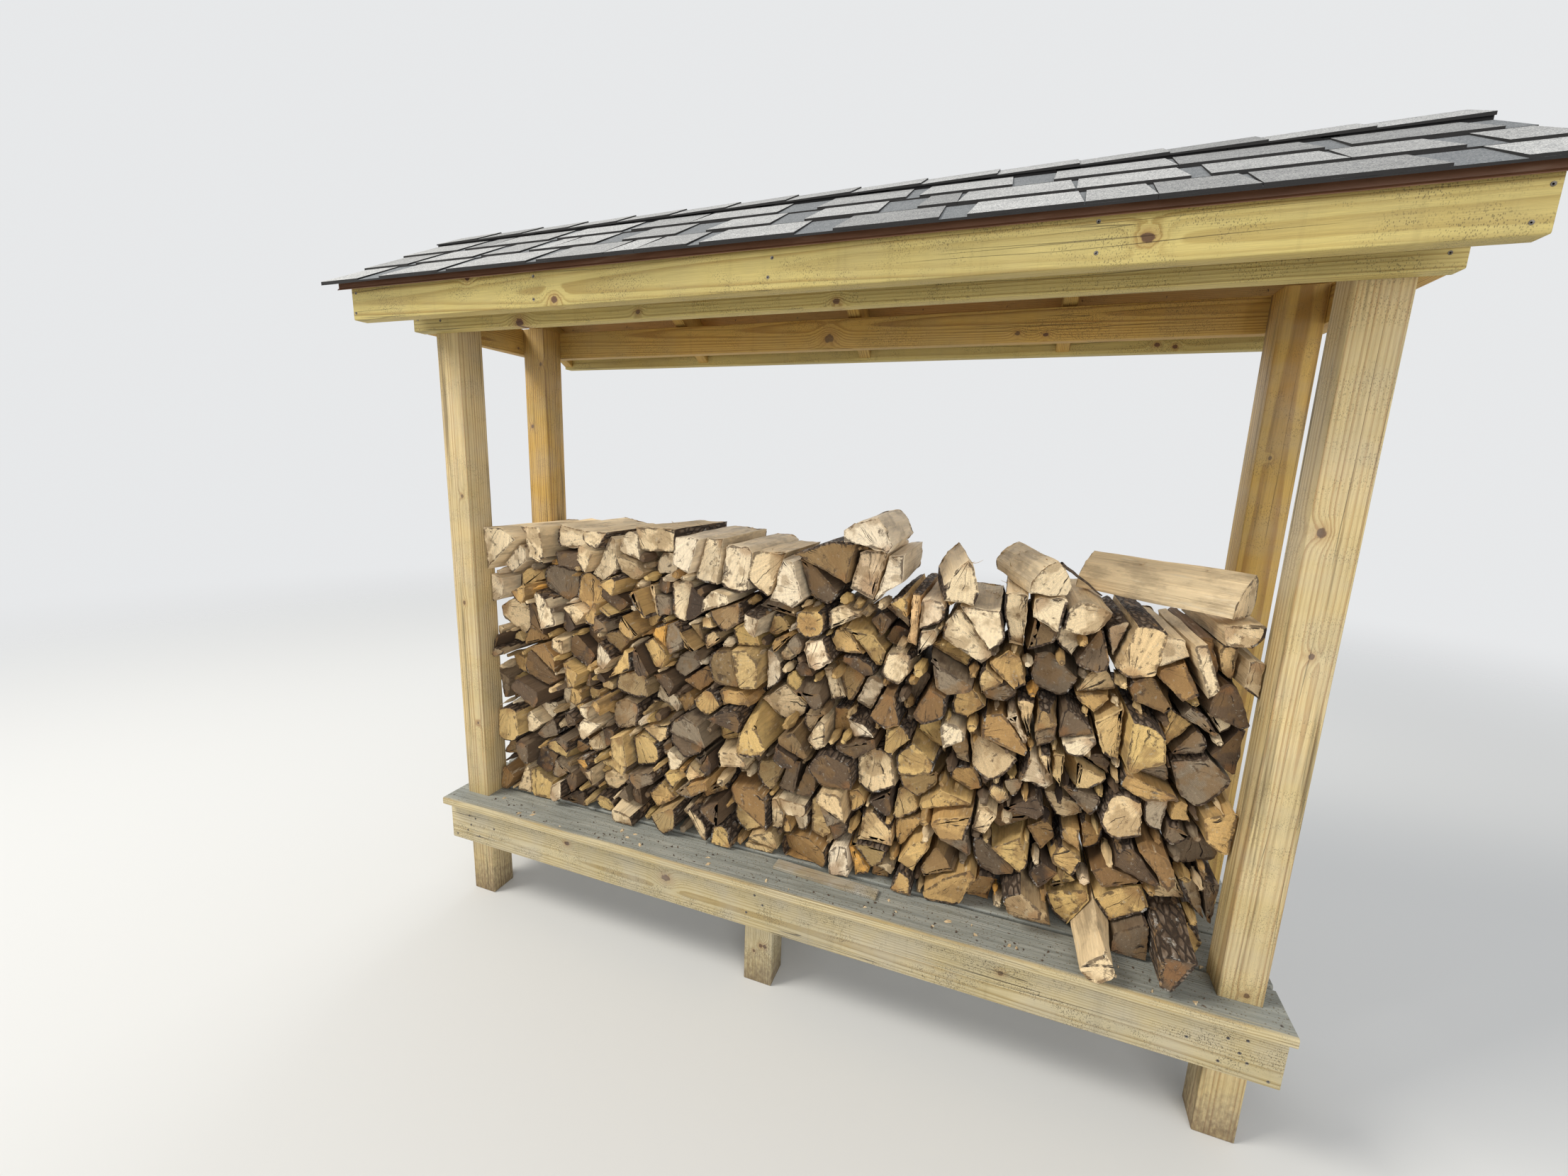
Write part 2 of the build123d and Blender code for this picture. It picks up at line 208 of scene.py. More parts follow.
# %% [markdown]
# ## Stage and light
# A plain pale floor that fades into the backdrop keeps the store's shadow without a visible edge.
# The light is soft and level: a pale world, one wide lamp high on the left, where the sun stood, and
# a weaker wide one in front, so that a colour renders about as it is written.

# %% Floor, world and lamps
backdrop_tone = (0.80, 0.81, 0.82, 1)
floor_size = 9.0
floor_shape = bmesh.new()
bmesh.ops.create_circle(floor_shape, cap_ends=True, segments=96, radius=floor_size)
floor_mesh = bpy.data.meshes.new("floor")
floor_shape.to_mesh(floor_mesh)
floor_shape.free()
floor = bpy.data.objects.new("floor", floor_mesh)
scene.collection.objects.link(floor)

floor_paint, tree, shader = new_material("pale floor", roughness=0.95)
shader["Base Color"].default_value = (0.66, 0.66, 0.65, 1)
coordinates = object_place(tree)
from_middle = vectors(tree, "LENGTH", coordinates)
fade = between(tree, from_middle, 3.0, floor_size)
clear = put(tree, "ShaderNodeBsdfTransparent", {})
faded = put(tree, "ShaderNodeMixShader", {0: fade, 1: tree.nodes["Principled BSDF"].outputs[0], 2: clear})
tree.links.new(faded, tree.nodes["Material Output"].inputs["Surface"])
floor_mesh.materials.append(floor_paint)

world = bpy.data.worlds.new("pale studio")
scene.world = world
world.use_nodes = True
tree = world.node_tree
light_path = tree.nodes.new("ShaderNodeLightPath").outputs
seen = maths(tree, "MAXIMUM", light_path["Is Camera Ray"], light_path["Is Glossy Ray"])
seen = maths(tree, "MAXIMUM", seen, light_path["Is Transmission Ray"])
lighting = put(tree, "ShaderNodeBackground", {"Color": (0.93, 0.96, 1.0, 1), "Strength": 0.62})
backdrop = put(tree, "ShaderNodeBackground", {"Color": backdrop_tone, "Strength": 1.0})
either = put(tree, "ShaderNodeMixShader", {0: seen, 1: lighting, 2: backdrop})
tree.links.new(either, tree.nodes["World Output"].inputs["Surface"])


def lamp(name, place, target, size, power, tone):
    """A square soft lamp that points at a target."""
    light = bpy.data.lights.new(name, "AREA")
    light.size = size
    light.energy = power
    light.color = tone
    holder = bpy.data.objects.new(name, light)
    holder.location = place
    holder.rotation_euler = (Vector(target) - Vector(place)).to_track_quat("-Z", "Y").to_euler()
    scene.collection.objects.link(holder)


lamp("sun_side_lamp", (-5.2, -3.3, 7.4), (0, 0, 1.0), 3.0, 570, (1.0, 0.96, 0.88))
lamp("front_lamp", (2.4, -5.0, 2.6), (0, 0, 1.1), 3.5, 120, (1.0, 0.98, 0.95))
lamp("back_lamp", (-1.0, 5.0, 3.4), (0, 0, 1.1), 3.0, 90, (0.95, 0.98, 1.0))
scene.view_settings.view_transform = "Standard"
print("stage of radius", floor_size, "m with three lamps")

# %% [markdown]
# ## Pine grain
# A board is a slice of a round trunk. Its growth rings are tubes round the trunk's pith, so a face
# that cuts them steeply shows fine lines and a face that grazes them shows long arches. Painting
# arches on a picture would break at every edge. Here the rings are worked out in space, as the
# distance from a pith line beside the board, and the arches, the edges and the end grain then agree.
# A knot is a branch that the rings bow round: it pushes the rings outwards and has a dark core.
# Drying cracks are long thin lines along the grain.

# %% Group: pine grain, its rings and knots
nowhere = (0, 9, 0)
grain_group, given, result = new_group(
    "pine grain",
    {"Place": ("Vector", (0, 0, 0)), "Pith": ("Vector", (0, 0.05, 0.02)), "Slope": ("Vector", (0, 0, 0)),
     "Ring Width": ("Float", 0.0045), "Waviness": ("Float", 0.012), "Knot 1": ("Vector", nowhere),
     "Knot 2": ("Vector", nowhere), "Knot 3": ("Vector", nowhere), "Cracks": ("Float", 0.5),
     "Early Wood": ("Color", (0.6, 0.45, 0.2, 1)), "Late Wood": ("Color", (0.4, 0.25, 0.08, 1))},
    {"Color": "Color", "Knot": "Float", "Height": "Float"})
tree = grain_group
place = given["Place"]
wander = grown(tree, place, (1.3, 7.0, 7.0), detail=2.0)
wander = times(tree, minus(tree, wander, 0.5), given["Waviness"])
push = core = halo = 0.0
for number in (1, 2, 3):
    knot = given[f"Knot {number}"]
    size = axis_of(tree, knot, 2)
    offset = vectors(tree, "MULTIPLY", vectors(tree, "SUBTRACT", place, knot), (0.8, 1.0, 0.0))
    rough_edge = times(tree, grown(tree, place, (90, 90, 90), detail=3.0), 1.1)
    ratio = maths(tree, "DIVIDE", vectors(tree, "LENGTH", offset), maths(tree, "MAXIMUM", size, 0.0001))
    ratio = plus(tree, ratio, minus(tree, rough_edge, 0.25))
    fall = maths(tree, "EXPONENT", times(tree, times(tree, ratio, ratio), -0.16))
    push = plus(tree, push, times(tree, fall, times(tree, size, 2.0)))
    core = maths(tree, "MAXIMUM", core, between(tree, ratio, 1.35, 1.05))
    halo = maths(tree, "MAXIMUM", halo, between(tree, ratio, 3.2, 1.0))
turned = {"Vector": place, "Location": given["Pith"], "Rotation": given["Slope"]}
turned = put(tree, "ShaderNodeMapping", turned)
from_pith = vectors(tree, "LENGTH", vectors(tree, "MULTIPLY", turned, (0, 1, 1)))
age = maths(tree, "DIVIDE", plus(tree, plus(tree, from_pith, wander), push), given["Ring Width"])
season = maths(tree, "FRACT", age)
year = put(tree, "ShaderNodeTexWhiteNoise", {"W": maths(tree, "FLOOR", age)}, noise_dimensions="1D")
spring, midsummer, autumn = (0.1, 0.1, 0.1, 1), (0.08, 0.08, 0.08, 1), (1, 1, 1, 1)
late = ramp(tree, season, [(0.0, spring), (0.4, midsummer), (0.78, autumn), (0.9, autumn), (1.0, spring)])
late = times(tree, late, sloped(tree, year, 0.65, 0.35))
print("rings and", number, "knots laid out")

# %% [markdown]
# The colours and the height follow from these masks. Fibres and pores are noise that is stretched
# along the grain. A crack is where slow noise crosses its middle value, which gives long thin lines.

# %% Group: pine grain, its fibres, cracks and colours
knot_halo, knot_brown, knot_black = (0.36, 0.17, 0.045, 1), (0.16, 0.065, 0.02, 1), (0.07, 0.028, 0.012, 1)
crack_shadow = (0.05, 0.03, 0.014, 1)
fibre = grown(tree, place, (14, 520, 520), detail=2.0)
pores = grown(tree, place, (60, 1500, 1500), detail=0.0)
tone = mixed(tree, times(tree, late, 0.95), given["Early Wood"], given["Late Wood"])
tone = darkened(tree, tone, sloped(tree, fibre, 0.55, 0.72))
tone = mixed(tree, times(tree, halo, 0.45), tone, knot_halo)
knot_ring = maths(tree, "SINE", times(tree, age, 2.2))
tone = mixed(tree, core, tone, mixed(tree, sloped(tree, knot_ring, 0.25, 0.4), knot_brown, knot_black))
crack_line = minus(tree, grown(tree, place, (0.4, 18, 18), detail=3.0), 0.5)
crack_line = between(tree, maths(tree, "ABSOLUTE", crack_line), 0.0045, 0.0015)
crack_reach = between(tree, grown(tree, place, (2.1, 9, 9), detail=1.0), 0.5, 0.62)
crack = times(tree, times(tree, crack_line, crack_reach), given["Cracks"], use_clamp=True)
tree.links.new(mixed(tree, crack, tone, crack_shadow), result["Color"])
tree.links.new(core, result["Knot"])
height = plus(tree, sloped(tree, late, 0.5, times(tree, fibre, 0.35)), times(tree, pores, 0.25))
tree.links.new(minus(tree, height, times(tree, crack, 2.0)), result["Height"])
print("group made:", grain_group.name)

# %% [markdown]
# ## Weather
# Treated pine that stands outside gets mildew dots, dark run-off streaks, grey patches and dust.
# Every wooden finish here shares these, with its own amounts, so they are one group with named
# amounts as inputs. Streaks run down the piece, because water does, and soil has splashed the
# lowest 20 cm, where only the legs are.

# %% Group: weather
patch_olive, sun_grey = (0.34, 0.27, 0.10, 1), (0.42, 0.42, 0.40, 1)
run_off_brown, mildew_black = (0.12, 0.085, 0.035, 1), (0.055, 0.045, 0.028, 1)
soil_brown = (0.135, 0.085, 0.045, 1)
weather_group, given, result = new_group(
    "weather",
    {"Color": ("Color", (0.5, 0.4, 0.2, 1)), "Place": ("Vector", (0, 0, 0)), "Mildew": ("Float", 0.5),
     "Streaks": ("Float", 0.3), "Grey": ("Float", 0.2), "Patches": ("Float", 0.3)},
    {"Color": "Color", "Dirt": "Float"})
tree = weather_group
place = given["Place"]
drips = vectors(tree, "MULTIPLY", place, (400, 400, 220))
dots = put(tree, "ShaderNodeTexVoronoi", {"Vector": drips, "Scale": 1.0, "Randomness": 1.0})
dot_size = grown(tree, place, (330, 330, 160), detail=2.0)
dots = between(tree, minus(tree, dots, times(tree, dot_size, 0.60)), 0.10, -0.04)
colony = between(tree, grown(tree, place, (7, 7, 16), detail=6.0, roughness=0.65), 0.44, 0.60)
mildew = times(tree, times(tree, dots, colony), given["Mildew"], use_clamp=True)
runs = between(tree, grown(tree, place, (42, 42, 1.3), detail=5.0, roughness=0.65), 0.54, 0.70)
runs = times(tree, runs, given["Streaks"], use_clamp=True)
patch = between(tree, grown(tree, place, (3.2, 6, 6), detail=5.0), 0.35, 0.75)
patch = times(tree, patch, given["Patches"], use_clamp=True)
greyed = between(tree, grown(tree, place, (9, 9, 9), detail=6.0), 0.3, 0.75)
greyed = times(tree, greyed, given["Grey"], use_clamp=True)
spatter = times(tree, grown(tree, place, (110, 110, 60), detail=4.0), 0.30)
splash = between(tree, plus(tree, axis_of(tree, place, 2), spatter), 0.33, 0.10)
tone = mixed(tree, times(tree, patch, 0.8), given["Color"], patch_olive)
tone = mixed(tree, greyed, tone, sun_grey)
tone = mixed(tree, times(tree, runs, 0.85), tone, run_off_brown)
tone = mixed(tree, mildew, tone, mildew_black)
tone = mixed(tree, times(tree, splash, 0.8), tone, soil_brown)
tree.links.new(tone, result["Color"])
tree.links.new(maths(tree, "MAXIMUM", mildew, runs), result["Dirt"])
print("group made:", weather_group.name)

# %% [markdown]
# ## A finish for each board
# Two boards never share a grain, so each gets its own pith line, slope and knots, drawn by chance
# from a fixed seed. The board's own axes come first: along the grain, across the wide face and
# through the thickness. A Mapping node turns object coordinates into those axes, centred on the board.

# %% Board finishes
X, Y, Z = Vector((1, 0, 0)), Vector((0, 1, 0)), Vector((0, 0, 1))
knot_count = 3
board_chance = random.Random(5)


def board_place(tree, node, along, across):
    """Object coordinates, and the same turned into a board's own axes with its middle at the origin."""
    low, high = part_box(node)
    axes = Matrix((along, across, along.cross(across)))
    move = -(axes @ ((low + high) / 2))
    coordinates = object_place(tree)
    filled = {"Vector": coordinates, "Location": move, "Rotation": axes.to_euler()}
    return coordinates, put(tree, "ShaderNodeMapping", filled)


def pine(name, node, along, across, early, late, weather, knots=(), slope=0.6, ring=0.0045, cracks=0.5,
         chance=board_chance):
    """A pine finish for one board. Knots are given as (along, across, size) from its middle."""
    low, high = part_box(node)
    length, width = abs((high - low).dot(along)), abs((high - low).dot(across))
    material, tree, shader = new_material(name, roughness=0.72)
    coordinates, place = board_place(tree, node, along, across)
    knots = list(knots)
    while len(knots) < knot_count:
        spot = (chance.uniform(-0.45, 0.45) * length, chance.uniform(-0.35, 0.35) * width)
        knots.append((*spot, chance.choice((0, 0, 0.004, 0.006))))
    pith = (0, chance.uniform(-0.03, 0.03), chance.choice((-1, 1)) * chance.uniform(0.025, 0.06))
    turn = (0, radians(chance.uniform(-slope, slope)), radians(chance.uniform(-slope, slope)))
    filled = {"Place": place, "Pith": pith, "Slope": turn, "Ring Width": ring, "Early Wood": early,
              "Late Wood": late, "Cracks": cracks}
    filled.update({f"Knot {number + 1}": knot for number, knot in enumerate(knots)})
    grain = use_group(tree, grain_group, filled)
    weathered = use_group(tree, weather_group, {"Color": grain["Color"], "Place": coordinates, **weather})
    tree.links.new(weathered["Color"], shader["Base Color"])
    tree.links.new(sloped(tree, weathered["Dirt"], 0.15, 0.68), shader["Roughness"])
    rough_surface(tree, shader, grain["Height"], 0.0012)
    return material


def weathering(mildew, streaks, grey, patches):
    """How much of each kind of weather a finish shows."""
    return {"Mildew": mildew, "Streaks": streaks, "Grey": grey, "Patches": patches}


yellow_pine = ((0.60, 0.48, 0.16, 1), (0.36, 0.24, 0.055, 1))
pale_pine = ((0.62, 0.52, 0.30, 1), (0.38, 0.27, 0.11, 1))
post_pine = ((0.68, 0.53, 0.26, 1), (0.43, 0.26, 0.10, 1))
honey_pine = ((0.60, 0.375, 0.085, 1), (0.33, 0.16, 0.026, 1))
sheltered = weathering(0.55, 0.12, 0.05, 0.5)
open_air = weathering(0.75, 0.15, 0.35, 0.4)
post_weather = weathering(0.4, 0.9, 0.22, 0.4)
print("four tones of pine ready")

# %% [markdown]
# ## Boards with eased edges
# Sawn lumber comes with edges rounded by a few millimetres, which catch the light. The solids have
# sharp edges, so each board is a copy of its solid with merged vertices and a small bevel. Building
# the boards again from numbers would risk a different joint or notch; a copy can't drift.

# %% Copies of the solids
merge_distance = 0.00002
flat_angle = radians(1)
sharp_angle = radians(20)
edge_rounding = 0.0025


def merged_copy(node):
    """A node's mesh as a bmesh, with its doubles merged and its flat faces whole."""
    shape = bmesh.new()
    shape.from_mesh(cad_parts[node].data)
    bmesh.ops.remove_doubles(shape, verts=shape.verts, dist=merge_distance)
    bmesh.ops.dissolve_limit(shape, angle_limit=flat_angle, verts=shape.verts, edges=shape.edges)
    shape.normal_update()
    return shape


def islands_of(shape):
    """The faces of a bmesh, parted into connected islands."""
    shape.faces.index_update()
    reached = [False] * len(shape.faces)
    islands = []
    for first in shape.faces:
        if reached[first.index]:
            continue
        reached[first.index] = True
        island = [first]
        for face in island:
            for edge in face.edges:
                for other in edge.link_faces:
                    if not reached[other.index]:
                        reached[other.index] = True
                        island.append(other)
        islands.append(island)
    return islands


def finished(shape, name, materials, replaced=(), smooth_below=40):
    """Turns a bmesh into a piece that rides with the store and stands for CAD nodes."""
    mesh = bpy.data.meshes.new(name)
    shape.to_mesh(mesh)
    shape.free()
    mesh.shade_smooth()
    mesh.set_sharp_from_angle(angle=radians(smooth_below))
    for material in materials:
        mesh.materials.append(material)
    piece = bpy.data.objects.new(name, mesh)
    scene.collection.objects.link(piece)
    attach(piece, "root")
    if replaced:
        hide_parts(*replaced)
    return piece


def ease(shape, edges, width, segments=1):
    """Rounds edges with a small bevel."""
    bmesh.ops.bevel(
        shape, geom=edges, offset=width, offset_type="OFFSET", segments=segments, profile=0.5,
        affect="EDGES", material=-1, clamp_overlap=True)


def eased_board(node, material):
    """A board with its sharp edges rounded."""
    shape = merged_copy(node)
    edges = [edge for edge in shape.edges if edge.calc_face_angle(0) > sharp_angle]
    ease(shape, edges, edge_rounding, segments=2)
    return finished(shape, f"{node}_lumber", [material], [node])


def new_finish(node, material):
    """Gives a CAD node another material; its mesh stays as it is."""
    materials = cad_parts[node].data.materials
    materials.clear()
    materials.append(material)


print("edges are rounded by", edge_rounding * 1000, "mm")

# %% [markdown]
# ## Posts, rims, headers and roof boards
# The long boards at the front get the knots that the real ones show, given from the board's middle.
# Boards under the roof are warmer and cleaner, and the posts carry dark run-off streaks.

# %% Lumber
fascia_knots = ((-0.802, 0.034, 0.006), (-0.535, -0.030, 0.008), (0.708, -0.004, 0.009))
header_knots = ((-0.813, -0.036, 0.012), (-0.424, -0.028, 0.006), (0.111, -0.034, 0.007))
header_back_knots = ((-0.054, -0.012, 0.013), (0.5, -0.02, 0.006))
rim_knots = ((-0.35, 0.01, 0.012), (-0.72, 0.03, 0.008), (0.62, 0.02, 0.007))
left_post_knots = ((0.42, 0.017, 0.006), (0.07, -0.005, 0.006), (-0.35, 0.02, 0.005))
right_post_knots = ((0.45, -0.022, 0.009), (0.2, 0.002, 0.006), (-0.6, 0.01, 0.006))
lumber = {
    "fascia_front": (X, Z, yellow_pine, sheltered, fascia_knots),
    "fascia_back": (X, Z, yellow_pine, sheltered, ()),
    "header_front": (X, Z, yellow_pine, sheltered, header_knots),
    "header_back": (X, Z, honey_pine, sheltered, header_back_knots),
    "rim_front": (X, Z, pale_pine, open_air, rim_knots),
    "rim_back": (X, Z, pale_pine, open_air, ()),
    "rim_left": (Y, Z, pale_pine, open_air, ()),
    "rim_right": (Y, Z, pale_pine, open_air, ()),
    "side_beam_left": (Y, Z, honey_pine, sheltered, ()),
    "side_beam_right": (Y, Z, honey_pine, sheltered, ()),
    "ridge_board": (X, Z, honey_pine, sheltered, ()),
    "deck_joists": (Y, Z, pale_pine, sheltered, ()),
    "post_front_left": (Z, X, post_pine, post_weather, left_post_knots),
    "post_front_right": (Z, X, post_pine, post_weather, right_post_knots),
    "post_back_left": (Z, X, honey_pine, post_weather, ()),
    "post_back_right": (Z, X, honey_pine, post_weather, ()),
    "leg_front_middle": (Z, X, pale_pine, open_air, ()),
    "leg_back_middle": (Z, X, pale_pine, open_air, ())}
board_ring, post_ring = 0.0055, 0.0085
board_cracks, rim_cracks = 0.6, 1.0
for node, (along, across, tones, weather, knots) in lumber.items():
    cracks = rim_cracks if node.startswith("rim") else board_cracks
    ring = post_ring if node.startswith("post") else board_ring
    material = pine(f"{node} pine", node, along, across, *tones, weather, knots, ring=ring, cracks=cracks)
    eased_board(node, material)

roof_pitch = radians(29)
for node, side in (("rafters_front", 1), ("rafters_back", -1)):
    run = Vector((0, side * cos(roof_pitch), sin(roof_pitch)))
    eased_board(node, pine(f"{node} pine", node, run, run.cross(X), *honey_pine, sheltered))
print("boards made:", len(lumber) + 2)

# %% [markdown]
# ## Deck boards
# The deck's top has turned blue grey in the rain, while its front nosing is still pale. The solids
# already have the rounded edges, so they stay. The finish greys what faces the sky and the gaps
# between the boards, where dirt gathers, and crumbs of bark are stuck all over it.

# %% Weathered deck
gap_line, nosing_line = (0.285, 0.280), (0.312, 0.296)
crumb_brown = (0.075, 0.055, 0.035, 1)
rain_greys = [
    (0.25, (0.105, 0.125, 0.125, 1)), (0.5, (0.23, 0.255, 0.25, 1)), (0.78, (0.37, 0.38, 0.355, 1))]
deck_boards = [f"deck_board_{number}" for number in range(1, 5)]
for node in deck_boards:
    deck = pine(f"{node} pine", node, X, Y, *pale_pine, weathering(0.5, 0.0, 0.2, 0.2))
    tree = deck.node_tree
    shader = tree.nodes["Principled BSDF"].inputs
    colour = shader["Base Color"].links[0].from_socket
    normal = put(tree, "ShaderNodeNewGeometry", {}, "Normal")
    upward = between(tree, axis_of(tree, normal, 2), 0.55, 0.95)
    coordinates = object_place(tree)
    from_ridge = maths(tree, "ABSOLUTE", axis_of(tree, coordinates, 1))
    upward = maths(tree, "MAXIMUM", upward, between(tree, from_ridge, *gap_line))
    worn = sloped(tree, grown(tree, coordinates, (4, 160, 20), detail=4.0), 0.03, from_ridge)
    upward = times(tree, upward, between(tree, worn, *nosing_line))
    sky_grey = ramp(tree, grown(tree, coordinates, (5, 90, 20), detail=5.0, roughness=0.65), rain_greys)
    crumb = put(tree, "ShaderNodeTexVoronoi", {"Vector": coordinates, "Scale": 130.0})
    crumb_size = grown(tree, coordinates, (60, 60, 60), detail=4.0)
    crumbs = between(tree, minus(tree, crumb, times(tree, crumb_size, 0.42)), 0.03, -0.02)
    sky_grey = mixed(tree, times(tree, crumbs, 0.8), sky_grey, crumb_brown)
    tree.links.new(mixed(tree, times(tree, upward, 0.86), colour, sky_grey), shader["Base Color"])
    new_finish(node, deck)
print("deck boards finished:", len(deck_boards))

# %% [markdown]
# ## Plywood and painted metal
# The roof's underside is orange brown plywood, a sheet peeled from the log, so its rings graze the
# face and spread into broad waves. The drip edge is thin steel with brown paint that has chalked a
# little. Both solids already have their real shape, so they only get a finish.

# %% Sheathing and drip edges
plywood_tones = ((0.50, 0.27, 0.07, 1), (0.33, 0.15, 0.03, 1))
plywood_knots = ((-0.5, 0.05, 0.014), (0.35, -0.06, 0.018))
for node in ("sheathing_front", "sheathing_back"):
    plywood = (*plywood_tones, sheltered, plywood_knots)
    new_finish(node, pine(f"{node} plywood", node, X, Y, *plywood, slope=0.25, ring=0.007))

brown_metal, tree, shader = new_material("brown painted metal", roughness=0.45)
coordinates = object_place(tree)
chalk = grown(tree, coordinates, (8, 60, 60), detail=4.0)
paint_tones = [
    (0.3, (0.105, 0.043, 0.018, 1)), (0.6, (0.155, 0.068, 0.032, 1)), (0.8, (0.24, 0.145, 0.09, 1))]
tree.links.new(ramp(tree, chalk, paint_tones), shader["Base Color"])
tree.links.new(sloped(tree, chalk, 0.35, 0.3), shader["Roughness"])
rough_surface(tree, shader, grown(tree, coordinates, (3, 25, 25), detail=2.0), 0.001)
for node in ("drip_edge_front", "drip_edge_back"):
    new_finish(node, brown_metal)
print("plywood on 2 slopes, painted metal on 2 eaves")

# %% [markdown]
# ## Shingle finish
# Asphalt shingles are covered in crushed stone, so they are matt and speckled, and each tab is
# printed a little lighter or darker. The speckle is a fine Voronoi pattern in space. The lighter and
# darker tabs come from a number stored on each tab's vertices.

# %% Granule finish
granule_scale = 620.0
stone_greys = [
    (0.0, (0.15, 0.155, 0.16, 1)), (0.25, (0.32, 0.325, 0.33, 1)), (0.55, (0.44, 0.44, 0.435, 1)),
    (0.8, (0.55, 0.55, 0.535, 1)), (1.0, (0.72, 0.71, 0.69, 1))]
slate_blue, asphalt_and_painted_shadow_black = (0.11, 0.14, 0.17, 1), (0.016, 0.015, 0.015, 1)
shingle_stone, tree, shader = new_material("shingle granules", roughness=0.95)
coordinates = object_place(tree)
tab_shade = put(tree, "ShaderNodeAttribute", {}, 2, attribute_name="shade")
speck = put(tree, "ShaderNodeTexVoronoi", {"Vector": coordinates, "Scale": granule_scale}, 1)
speck = put(tree, "ShaderNodeSeparateColor", {0: speck}, 0)
cloud = grown(tree, coordinates, (9, 22, 22), detail=5.0)
level = times(tree, sloped(tree, tab_shade, 0.62, 0.52), sloped(tree, cloud, 0.5, 0.75))
stone = darkened(tree, ramp(tree, speck, stone_greys), level)
stone = mixed(tree, times(tree, between(tree, tab_shade, 0.35, 0.0), 0.45), stone, slate_blue)
# Faces turned from the sky, above all the butt edges, are painted near black: partly the dark cut asphalt,
# partly painted shadow lines under each course.
normal = put(tree, "ShaderNodeNewGeometry", {}, "Normal")
facing_down = between(tree, axis_of(tree, normal, 2), 0.5, 0.25)
tree.links.new(mixed(tree, facing_down, stone, asphalt_and_painted_shadow_black), shader["Base Color"])
rough_surface(tree, shader, speck, 0.0009)
print("granules of about", round(1000 / granule_scale, 1), "mm")

# %% [markdown]
# ## Laminated shingles
# A laminated shingle is two sheets: a full strip below, and on it a strip with wide tabs of unequal
# width, so each course's lower edge steps in and out. A slab with one thick edge makes both. It
# starts as a cube, is divided along its length, and its lower edge is then made a little ragged. The
# courses follow the solids: the eave line, the step and the height come from the frame.

# %% One wedge on the slope
course_count = 4
roof_half_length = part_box("shingle_course_front_1")[1].x
course_outer = [-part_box(f"shingle_course_front_{number + 1}")[0].y for number in range(course_count)]
course_step = course_outer[0] - course_outer[1]
sheathing_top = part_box("sheathing_front")[1].z
ragged_edge = 0.0016
segment_length = 0.02


def roof_height(distance):
    """Height of the sheathing's top at a distance from the ridge."""
    return sheathing_top - distance * tan(roof_pitch)


def slab(shape, side, x0, x1, outer, inner, bottom, top, skew, shade):
    """A wedge on the slope. Bottom and top give its heights over the sheathing at (outer, inner)."""
    known_edges, known_verts = len(shape.edges), len(shape.verts)
    bmesh.ops.create_cube(shape, size=1.0)
    edges = list(shape.edges)[known_edges:]
    lengthwise = [edge for edge in edges if abs(edge.verts[0].co.x - edge.verts[1].co.x) > 0.5]
    cuts = max(2, int((x1 - x0) / segment_length))
    bmesh.ops.subdivide_edges(shape, edges=lengthwise, cuts=cuts, use_grid_fill=True)
    layer = shape.verts.layers.float["shade"]
    for vertex in list(shape.verts)[known_verts:]:
        along, across, up = (part + 0.5 for part in vertex.co)
        x = x0 + along * (x1 - x0)
        ragged = noise.noise(Vector((x, side, outer)) * 60) * ragged_edge if across < 0.5 else 0
        distance = outer - abs(ragged) - across * (outer - inner)
        lift = (top if up > 0.5 else bottom)[0 if across < 0.5 else 1]
        vertex.co = (x + across * skew * (1 - 2 * along), side * distance, roof_height(distance) + lift)
        vertex[layer] = shade


print("courses:", course_count, "step", round(course_step * 1000), "mm")

# %% [markdown]
# A course lays full strips end to end, each row shifted against the last one so that no joint lies
# over a joint, and then the tabs with their unequal widths and gaps.

# %% Shingle courses
strip_length, row_shift = 1.0, 0.335
half_joint = 0.0003
thick_edge, thin_edge = 0.010, 0.005
tab_thickness = 0.0045
strip_thin_edge = 0.0022
tab_bottom, tab_skew = (0.004, 0.002), 0.006
tab_widths, tab_gaps = (0.12, 0.25), (0.002, 0.03, 0.05, 0.08)
tab_shades, strip_shade = (0.3, 0.55, 0.7, 0.85, 0.95, 1.0), 0.1
over_drip_edge = 0.001
tab_chance = random.Random(21)


def shingle_course(side, number):
    """One course: full strips below and tabs of unequal width on them."""
    name = "front" if side < 0 else "back"
    outer = course_outer[number]
    inner = outer - course_step if number < course_count - 1 else 0.0004
    shape = bmesh.new()
    shape.verts.layers.float.new("shade")
    base = over_drip_edge if number == 0 else 0.0
    strip = ((base, base), (thick_edge - tab_thickness, strip_thin_edge))
    tab = (tab_bottom, (thick_edge, thin_edge))
    stop = -roof_half_length - (number * row_shift) % strip_length
    while stop < roof_half_length:
        start, stop = max(stop, -roof_half_length), min(stop + strip_length, roof_half_length)
        slab(shape, side, start + half_joint, stop - half_joint, outer, inner, *strip, 0, strip_shade)
        x = start + half_joint
        while x < stop - 0.05:
            width = min(tab_chance.uniform(*tab_widths), stop - half_joint - x)
            shade = tab_chance.choice(tab_shades)
            slab(shape, side, x, x + width, outer, inner, *tab, tab_skew, shade)
            x += width + tab_chance.choice(tab_gaps)
    bmesh.ops.recalc_face_normals(shape, faces=shape.faces)
    node = f"shingle_course_{name}_{number + 1}"
    piece = finished(shape, f"shingles_{name}_{number + 1}", [shingle_stone], [node])
    return len(piece.data.polygons)


faces = [shingle_course(side, number) for side in (-1, 1) for number in range(course_count)]
print("shingle courses:", len(faces), "faces:", sum(faces))

# %% [markdown]
# ## Ridge caps
# Folded caps lie over the ridge, each with its thick edge over the next. Their solids have the right
# fold and lap, so a copy is divided and its edges are roughened by a fraction of a millimetre.

